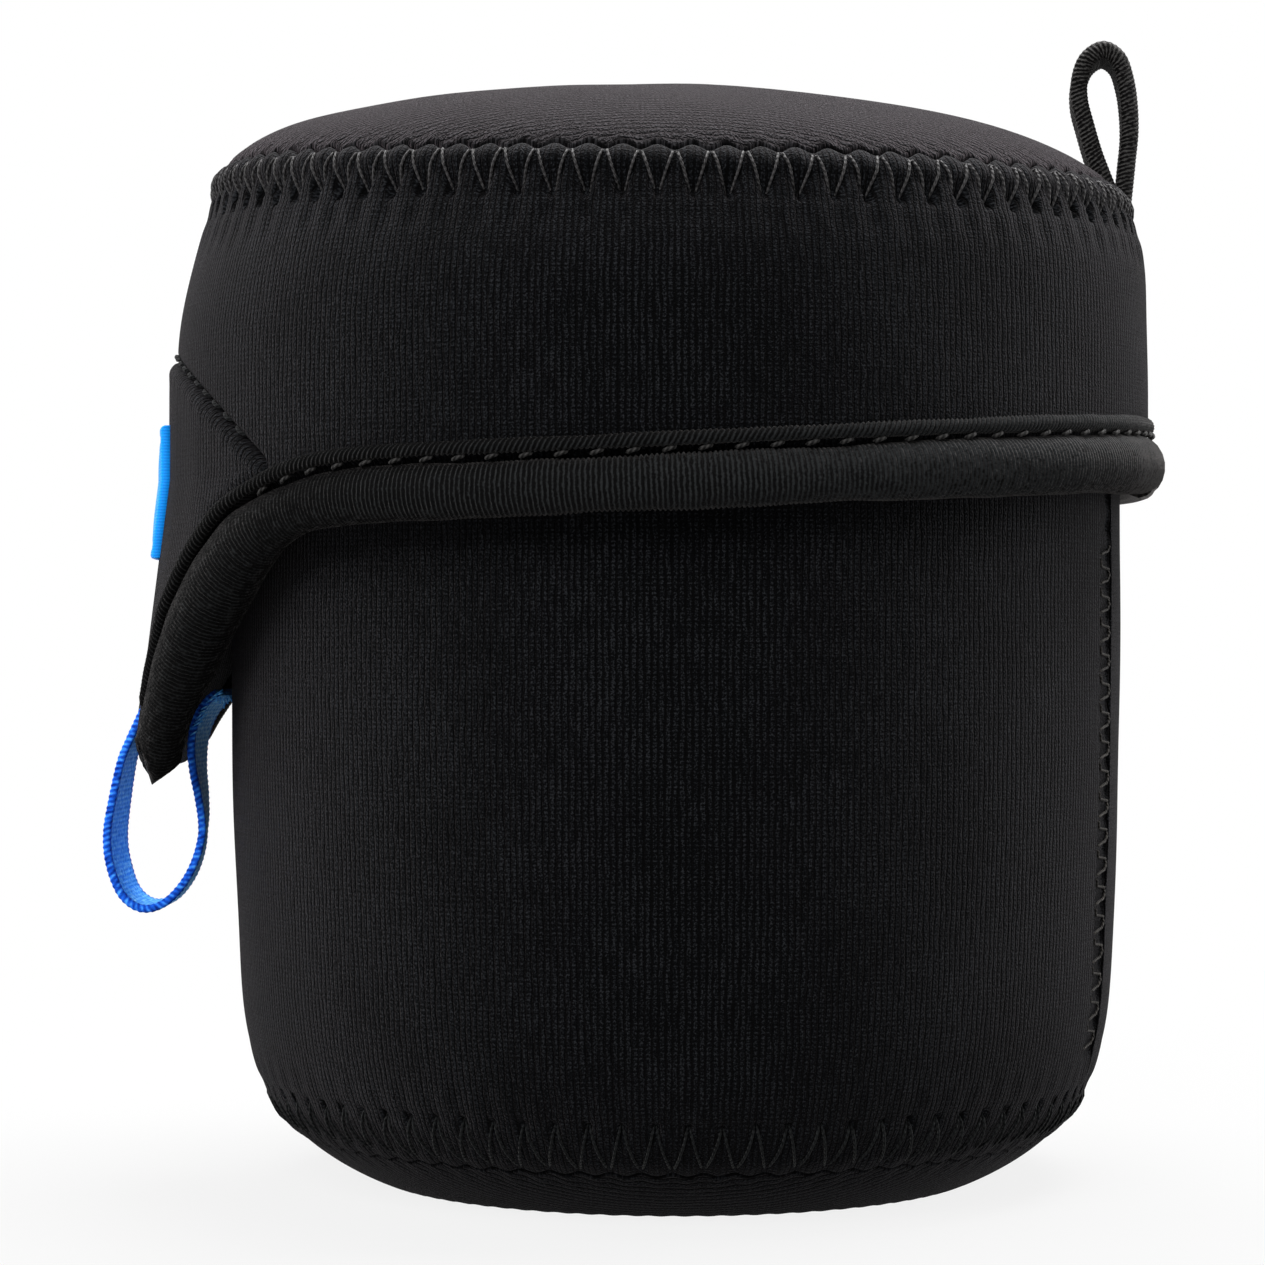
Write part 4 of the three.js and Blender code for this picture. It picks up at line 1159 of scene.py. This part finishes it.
def makeLabel():
    top = tongue["apex"] - label["drop"]
    low = top - label["height"]
    half = label["width"] / 2
    u = np.linspace(-1, 1, label["columns"])
    v = np.linspace(0, 1, label["rows"])[:, None]
    u = np.sign(u) * mix(np.abs(u), ease(np.abs(u)), 0.5)
    v = mix(v, ease(v), 0.7)
    s = half * u + 0 * v
    height = mix(low, top, v) + 0 * u
    fromEdge = np.minimum(np.minimum(half - np.abs(s), height - low), top - height)
    rounded = edgeDip(fromEdge, label["edge"])
    sewn = -label["dip"] * bell(fromEdge - label["inset"], 0.35)
    raised = label["raised"] * ease((fromEdge - label["inset"]) / 4)
    outer = labelPoint(s, height, label["thickness"] + rounded + sewn + raised)
    inner = labelPoint(s, height, 0 * s - rounded * 0.3)
    patch = patchShell("frontLabel", outer, inner, np.stack([s, height], -1), blueLabel)
    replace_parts(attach(patch, "lid"), "front_label")

    reachS, reachZ = half - label["inset"], label["height"] / 2 - label["inset"]
    middle = (top + low) / 2
    weave = Weave()
    bow = 0.2 * np.sin(np.linspace(0, math.pi, 6)) - 0.1
    lift = label["thickness"] - label["threadSink"] + bow
    corners = [(-reachS, -reachZ), (reachS, -reachZ), (reachS, reachZ), (-reachS, reachZ)]
    for (s0, z0), (s1, z1) in zip(corners, corners[1:] + corners[:1]):
        length = math.hypot(s1 - s0, z1 - z0)
        count = int(length / label["pitch"])
        for i in range(count):
            t = (i + 0.5) / count + np.linspace(-0.5, 0.5, 6) * label["stitch"] / length
            addDash(weave, labelPoint(mix(s0, s1, t), middle + mix(z0, z1, t), lift), label["thread"])
    thread = weave.make("labelStitches", blueLabel)
    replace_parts(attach(thread, "lid"), "label_stitch")


# Ribbon swept along a path of (x, z) points, its width along y

def smoothPath(points, step):
    points = np.asarray(points, float)
    ends = np.vstack([2 * points[0] - points[1], points, 2 * points[-1] - points[-2]])
    path = []
    for i in range(len(points) - 1):
        p0, p1, p2, p3 = ends[i:i + 4]
        t = np.linspace(0, 1, 24, endpoint=False)[:, None]
        path.append(
            0.5 * (2 * p1 + (p2 - p0) * t + (2 * p0 - 5 * p1 + 4 * p2 - p3) * t ** 2
                   + (3 * p1 - p0 - 3 * p2 + p3) * t ** 3)
        )
    path = np.vstack(path + [points[-1:]])
    run = pathRun(path)
    even = np.linspace(0, run[-1], int(run[-1] / step) + 1)
    return np.stack([np.interp(even, run, path[:, k]) for k in (0, 1)], -1), even


def addRibbon(weave, points, look):
    path, run = smoothPath(points, look["step"])
    square = squareTo(path)
    half, thick = look["width"] / 2, look["thickness"] / 2
    face = np.linspace(-1, 1, look["columns"])
    flat = half - look["selvage"] / 2
    turn = np.linspace(-math.pi / 2, math.pi / 2, 9)[1:-1]
    bead = look["selvage"] / 2
    bulge = bead * np.cos(turn)
    unrolled = bead * (turn + 1.6) / 2
    y = np.concatenate([face * flat, flat + bulge, face[::-1] * flat, -flat - bulge])
    t = np.concatenate([face * 0 - thick, bead * np.sin(turn), face * 0 + thick, -bead * np.sin(turn)])
    isBead = np.abs(y) > flat * 0.999
    v = np.concatenate([face * flat, flat + unrolled, face[::-1] * flat, -flat - unrolled])
    around = np.arctan2(t, np.abs(y) - flat)
    hatch = np.cos(fullTurn * run[:, None] / look["hatch"] + 1.5 * around)
    ribs = np.cos(fullTurn * run[:, None] / look["rib"])
    grow = np.where(isBead, 1 + look["hatchDepth"] * hatch, 1)
    thickAt = t * grow + np.where(isBead, 0, np.sign(t)) * look["ribDepth"] * ribs
    yAt = y + np.where(isBead, np.sign(y) * bead * look["hatchDepth"], 0) * hatch
    yaw = np.interp(run / run[-1], *look["yaw"])[:, None]
    bow = np.interp(run / run[-1], *look["bow"])[:, None] * (1 - (y / half) ** 2)
    centre = path[:, None, :]
    points3 = np.stack([
        centre[..., 0] + square[:, None, 0] * thickAt + yaw * yAt - bow,
        yAt,
        centre[..., 1] + square[:, None, 1] * thickAt,
    ], -1)
    uv = spread(run[:, None], np.concatenate([v, v[:1]]))
    ids = weave.addGrid(points3, uv, True)
    weave.closeEnds(ids, points3, uv)


pull = dict(
    width=10.0, thickness=0.8, selvage=0.88, columns=22, step=0.11, rib=0.5, ribDepth=0.01, hatch=0.6,
    hatchDepth=0.08, tackWidth=7.6, tackTurns=11, tackHalf=1.0, thread=0.2, frays=26, fray=0.09,
    frayReach=2.0, sideFrays=9,
    yaw=((0, 0.15, 0.3, 0.4, 0.55, 0.7, 0.85, 1), (0, 0, 0.06, 0.06, 0.0, -0.09, 0.02, 0.12)),
    bow=((0, 0.15, 0.3, 1), (0.3, 0.25, 0, 0)),
    path=[
        (-56.3, 53.2), (-56.35, 51.6), (-56.6, 50.2), (-57.3, 48.6), (-58.3, 46.4), (-59.1, 44.3),
        (-59.9, 40.2), (-60.4, 36.4), (-60.1, 33.2), (-58.9, 30.0), (-56.9, 28.55), (-54.6, 29.1),
        (-52.6, 31.3), (-51.35, 34.2), (-50.9, 37.4), (-51.1, 40.4), (-51.5, 43.4), (-51.5, 46.2),
        (-50.9, 48.6), (-49.7, 50.5), (-48.4, 51.6),
    ],
)
outerTack = dict(name="outerTack", node="pull_loop_outer_tack", x=-56.5, z=50.5, yaw=0.0, bow=0.27)
innerTack = dict(name="innerTack", node="pull_loop_inner_tack", x=-50.95, z=48.6, yaw=0.12, bow=0.0)


def addFrays(weave, points):  # loose ends of the warp where the ribbon is cut
    x1, z1 = points[-1]
    t = np.linspace(0, 1, 7)
    for i in range(pull["frays"]):
        y = pull["width"] * ((i + 0.5) / pull["frays"] - 0.5)
        reach = pull["frayReach"] * (0.7 + 0.3 * scatter(i, 5))
        lean = 0.1 + 0.22 * scatter(i, 6)
        drop = 0.55 + 0.35 * scatter(i, 7)
        x = x1 + pull["yaw"][1][-1] * y - 0.1 + reach * lean * t
        z = z1 - 0.1 + 0.35 * np.sin(t * math.pi) - reach * drop * t
        addThread(weave, np.stack([x, y + 0.5 * scatter(i, 9) * t, z], -1), pull["fray"])
    path, run = smoothPath(points, pull["step"])
    for i in range(pull["sideFrays"]):  # pulled weft at the near selvage, beside the sewn end
        back = 0.6 + 5.4 * (i + 0.4 * scatter(i, 3)) / pull["sideFrays"]
        x0, z0 = (np.interp(run[-1] - back, run, path[:, k]) for k in (0, 1))
        reach = 1.15 + 0.4 * scatter(i, 4)
        x = x0 - 0.3 + reach * t
        y = -pull["width"] / 2 - 0.1 - 0.75 * np.sin(t * 2.2) + 0.1 * scatter(i, 2)
        z = z0 + reach * (0.55 + 0.35 * scatter(i, 1)) * t
        addThread(weave, np.stack([x, y, z], -1), pull["fray"])


def makePullLoop():
    weave = Weave()
    addRibbon(weave, pull["path"], pull)
    addFrays(weave, pull["path"])
    ribbon = weave.make("pullRibbon", blueRibbon)
    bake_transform(ribbon)
    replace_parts(ribbon, "pull_loop", "pull_loop_outer_end", "pull_loop_inner_end")

    t = np.linspace(0, 1, pull["tackTurns"] * 8)
    y = (t - 0.5) * pull["tackWidth"]
    swing = np.cos(t * pull["tackTurns"] * fullTurn)
    climb = pull["tackHalf"] * np.clip(swing * 1.3, -1, 1)
    away = pull["thickness"] / 2 + 0.12 - 0.28 * (np.abs(swing) > 0.9)
    for end in (outerTack, innerTack):
        lean = climb * 0.15 - end["bow"] * (1 - (2 * y / pull["width"]) ** 2)
        x = end["x"] - away + end["yaw"] * y + lean
        weave = Weave()
        addThread(weave, np.stack([x, y, end["z"] + climb], -1), pull["thread"])
        tack = weave.make(end["name"], darkYarn)
        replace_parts(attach(tack, "tongue_tip"), end["node"])


hang = dict(
    width=9.0, thickness=1.75, selvage=1.95, columns=18, step=0.11, rib=0.45, ribDepth=0.03, hatch=0.45,
    hatchDepth=0.03, yaw=((0, 1), (0.1, 0.1)), bow=((0, 1), (0, 0)),
    path=[
        (47.2, 103.4), (46.7, 105.2), (46.0, 107.0), (45.1, 109.4), (44.2, 112.5), (43.6, 114.9),
        (43.6, 117.2), (44.4, 119.3), (46.1, 120.35), (47.7, 119.4), (48.5, 117.2), (48.9, 114.6),
        (49.0, 111.6), (48.7, 108.4), (48.4, 105.4), (48.1, 102.8),
    ],
)


def makeHangingLoop():
    weave = Weave()
    addRibbon(weave, hang["path"], hang)
    loop = weave.make("hangingWebbing", webbingCloth)
    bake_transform(loop)
    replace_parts(loop, "hanging_loop", "hanging_loop_root")


# Cloth hinge: one strip from the mouth down, under the roll and up its outside

hinge = dict(
    half=12.0, tape=0.6, endTape=0.12, top=82.6, wrap=190.0, gap=0.02, endGap=-0.2, columns=60, rib=0.6,
    ripple=0.04, neckRows=14, wrapRows=22,
)


def makeHinge():
    rearHem = hemHeight(rear)
    rollX = lid["x"] + rollMiddle(rearHem)
    reach = math.radians(hinge["wrap"] / 2)
    turn = 1.5 * math.pi + np.linspace(-reach, reach, hinge["wrapRows"])
    pressing = ease((turn - fullTurn * 0.72) / 1.2)  # pressed flat up the outside
    tucking = ease((turn - fullTurn * 0.85) / 0.6)  # its end tucks into the roll
    thin = mix(hinge["tape"], hinge["endTape"], pressing)
    clear = mix(hinge["gap"], hinge["endGap"], tucking)
    around = hem["rollDepth"] + clear + thin / 2
    under = rollHalf(rearHem) + clear + thin / 2
    wrapX = rollX + around * np.cos(turn)
    wrapZ = rearHem + under * np.sin(turn)
    neckX = cup["neck"] + hinge["gap"] + hinge["tape"] / 2
    neckRows = hinge["neckRows"]
    drop = np.linspace(hinge["top"], wrapZ[0] + 1.2, neckRows)
    x = np.concatenate([np.full(neckRows, neckX), wrapX])
    x[neckRows - 1] = mix(neckX, wrapX[0], 0.5)
    path = np.stack([x, np.concatenate([drop, wrapZ])], -1)
    tape = np.concatenate([np.full(neckRows, hinge["tape"]), thin])
    square = squareTo(path)
    y = np.linspace(-hinge["half"], hinge["half"], hinge["columns"])
    run = pathRun(path)

    def face(side):
        ripple = hinge["ripple"] * np.cos(fullTurn * run / hinge["rib"])
        offset = side * (tape / 2 + ripple)
        px = path[:, 0] + square[:, 0] * offset
        pz = path[:, 1] + square[:, 1] * offset
        bend = np.sqrt(px[:, None] ** 2 - y ** 2)
        return spread(bend, y, pz[:, None])

    uv = spread(run[:, None], y)
    strip = patchShell("hingeStrip", face(1), face(-1), uv, bindingTape)
    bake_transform(strip)
    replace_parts(strip, "hinge_strip_body", "hinge_strip_lid")


makeLabel()
makePullLoop()
makeHangingLoop()
makeHinge()
print("label, loops and hinge sewn")


# Floor, light and camera

stage = dict(shadow=0.15, near=0.04, clear=0.26, world=0.35, floor=0.25, reach=6.0, drop=0.0001)


def addRayMask(tree):  # 1 for what the camera sees straight, in gloss or through glass
    rays = addNode(tree, "ShaderNodeLightPath", {})
    mask = rays.outputs["Is Camera Ray"]
    for name in ("Is Glossy Ray", "Is Transmission Ray"):
        either = addNode(tree, "ShaderNodeMath", {0: mask, 1: rays.outputs[name]}, operation="MAXIMUM")
        mask = either.outputs[0]
    return mask


def makeFloor():
    mesh = bpy.data.meshes.new("floor")
    reach = stage["reach"]
    corners = [(-reach, -reach), (reach, -reach), (reach, reach), (-reach, reach)]
    mesh.from_pydata([(x, y, -stage["drop"]) for x, y in corners], [], [(0, 1, 2, 3)])
    floor = bpy.data.objects.new("floor", mesh)
    bpy.context.scene.collection.objects.link(floor)
    material = bpy.data.materials.new("paleFloor")
    material.use_nodes = True
    tree = material.node_tree
    tree.nodes.remove(tree.nodes["Principled BSDF"])
    grey = stage["floor"]
    plain = addNode(tree, "ShaderNodeBsdfDiffuse", {"Color": (grey, grey, grey, 1)})
    glow = addNode(tree, "ShaderNodeEmission", {"Strength": 1.0})
    spot = addNode(tree, "ShaderNodeNewGeometry", {})
    distance = addNode(tree, "ShaderNodeVectorMath", {0: spot.outputs["Position"]}, operation="LENGTH")
    fading = {  # the shadow fades out away from the object
        "Value": distance.outputs["Value"], "From Min": stage["near"], "From Max": stage["clear"],
        "To Min": 1 - stage["shadow"], "To Max": 1.0,
    }
    fade = addNode(tree, "ShaderNodeMapRange", fading, interpolation_type="SMOOTHSTEP")
    share = addNode(tree, "ShaderNodeMath", {0: addRayMask(tree), 1: fade.outputs[0]}, operation="MULTIPLY")
    mixed = {0: share.outputs[0], 1: plain.outputs[0], 2: glow.outputs[0]}
    both = addNode(tree, "ShaderNodeMixShader", mixed)
    tree.links.new(both.outputs[0], tree.nodes["Material Output"].inputs["Surface"])
    mesh.materials.append(material)


def makeWorld():
    world = bpy.data.worlds.new("studio")
    bpy.context.scene.world = world
    world.use_nodes = True
    tree = world.node_tree
    background = tree.nodes["Background"]
    background.inputs["Color"].default_value = (1, 1, 1, 1)
    light = {"Value": addRayMask(tree), "To Min": stage["world"], "To Max": 1.0}
    strength = addNode(tree, "ShaderNodeMapRange", light)
    tree.links.new(strength.outputs[0], background.inputs["Strength"])


lamps = [
    dict(name="overhead", place=(0.08, 0.22, 0.75), aim=(0, 0, 0.1), size=(0.7, 0.5), power=21.0),
    dict(name="leftStrip", place=(-0.62, 0.16, 0.25), aim=(0, 0, 0.06), size=(0.25, 0.6), power=3.15),
    dict(name="rightStrip", place=(0.62, 0.16, 0.25), aim=(0, 0, 0.06), size=(0.25, 0.6), power=4.0),
    dict(name="frontFill", place=(-0.3, -0.7, 0.6), aim=(0, 0, 0.06), size=(0.6, 0.5), power=9.0),
]


def makeLamps():
    for lamp in lamps:
        data = bpy.data.lights.new(lamp["name"], "AREA")
        data.shape = "RECTANGLE"
        data.size, data.size_y = lamp["size"]
        data.energy = lamp["power"]
        light = bpy.data.objects.new(lamp["name"], data)
        light.location = lamp["place"]
        toward = Vector(lamp["aim"]) - Vector(lamp["place"])
        light.rotation_euler = toward.to_track_quat("-Z", "Y").to_euler()
        bpy.context.scene.collection.objects.link(light)


view = dict(place=(-4.6, -395.0, 58.0), sharpness=3658.0, frame=1265.0, sensor=36.0)


def makeCamera():
    data = bpy.data.cameras.new("camera")
    data.sensor_width = view["sensor"]
    data.lens = view["sensor"] * view["sharpness"] / view["frame"]
    data.clip_start = 0.01
    camera = bpy.data.objects.new("camera", data)
    camera.location = [c * metre for c in view["place"]]
    camera.rotation_euler = (math.pi / 2, 0, 0)
    bpy.context.scene.collection.objects.link(camera)
    bpy.context.scene.camera = camera


makeFloor()
makeWorld()
makeLamps()
makeCamera()
bpy.context.scene.view_settings.view_transform = "Standard"
print("stage set")
